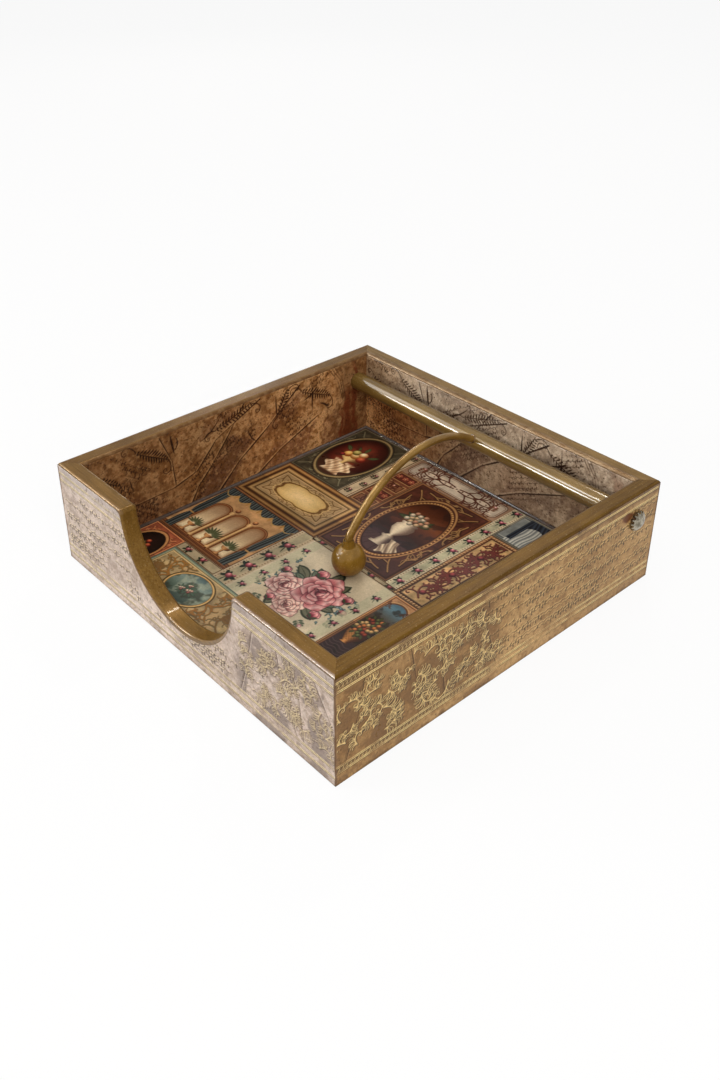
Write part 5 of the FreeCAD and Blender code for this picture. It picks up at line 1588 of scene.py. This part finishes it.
varnishBead = {"inner": 85.3, "outer": 86.44, "low": 5.46, "high": 6.75, "steps": 7}
paintRing = {"rodRadius": 4.75, "armRadius": 1.9, "thickness": 0.42, "root": (1.0, 79.5, 37.5), "turn": 4.6,
             "rise": 29.5}


def closedTube(name, points, material):
    # points: rings round a closed way, the last joined to the first, the same number of points in each
    count, around = points.shape[:2]
    index = np.arange(count * around).reshape(count, around)
    ahead, beside = np.roll(index, -1, 0), np.roll(index, -1, 1)
    faces = np.stack([index, ahead, np.roll(ahead, -1, 1), beside], -1).reshape(-1, 4)
    mesh = bpy.data.meshes.new(name)
    mesh.from_pydata((points.reshape(-1, 3) * mm).tolist(), [], faces.tolist())
    mesh.polygons.foreach_set("use_smooth", np.ones(len(faces), bool))
    mesh.materials.append(material)
    return addObject(name, mesh)


def addVarnishBead():
    # varnish that gathered in the corner between floor and walls: a hollow quarter round, from floor to wall,
    # swept round the square; distance from the middle = outer - reach (1 - sin a), height = low + reach (1 - cos a)
    bead = varnishBead
    turn = np.linspace(0, math.pi / 2, bead["steps"])
    reach, rise = bead["outer"] - bead["inner"], bead["high"] - bead["low"]
    away = np.concatenate([bead["outer"] - reach * (1 - np.sin(turn)), [bead["outer"], bead["outer"]]])
    height = np.concatenate([bead["low"] + rise * (1 - np.cos(turn)), [bead["high"] - 0.05, bead["low"]]])
    corners = np.array(((1, 1), (-1, 1), (-1, -1), (1, -1)))
    heights = np.broadcast_to(height[None, :, None], (4, away.size, 1))
    points = np.concatenate([corners[:, None, :] * away[None, :, None], heights], -1)
    finish = plainFinish("varnishBead", (74, 50, 32), (48, 32, 20), 260, 0.30, coat=0.5, bump=0.0)
    piece = closedTube("floor_varnish_bead", points, finish)
    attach(piece, "tray")


def addPaintRing():
    # paint that gathered where the arm enters the rod: a tube along the line where the two round bars meet,
    # away from the rod's axis by sqrt(rodRadius squared - (armRadius sin a) squared)
    ring = paintRing
    turn, rise = math.radians(ring["turn"]), math.radians(ring["rise"])
    ahead = np.array([math.sin(turn) * math.cos(rise), -math.cos(turn) * math.cos(rise), math.sin(rise)])
    sideways = np.array([math.cos(turn), math.sin(turn), 0])
    upright = np.cross(sideways, ahead)
    a = np.linspace(0, 2 * math.pi, 48, endpoint=False)
    b = np.linspace(0, 2 * math.pi, 12, endpoint=False)
    out = np.cos(a)[:, None] * sideways + np.sin(a)[:, None] * upright
    away = np.sqrt(ring["rodRadius"] ** 2 - (ring["armRadius"] * np.sin(a)) ** 2)
    middle = np.array(ring["root"]) + away[:, None] * ahead + ring["armRadius"] * out
    fat = ring["thickness"] * (1 + 0.25 * np.sin(3 * a))
    section = np.cos(b)[None, :, None] * out[:, None, :] + np.sin(b)[None, :, None] * ahead
    points = middle[:, None, :] + fat[:, None, None] * section
    finish = plainFinish("paintRing", (112, 78, 30), (70, 44, 16), 400, 0.15, 0.15, 0.8, bump=0.1)
    piece = closedTube("arm_paint_ring", points, finish)
    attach(piece, "press_arm")


addVarnishBead()
addPaintRing()
print("varnish bead and paint ring ready")
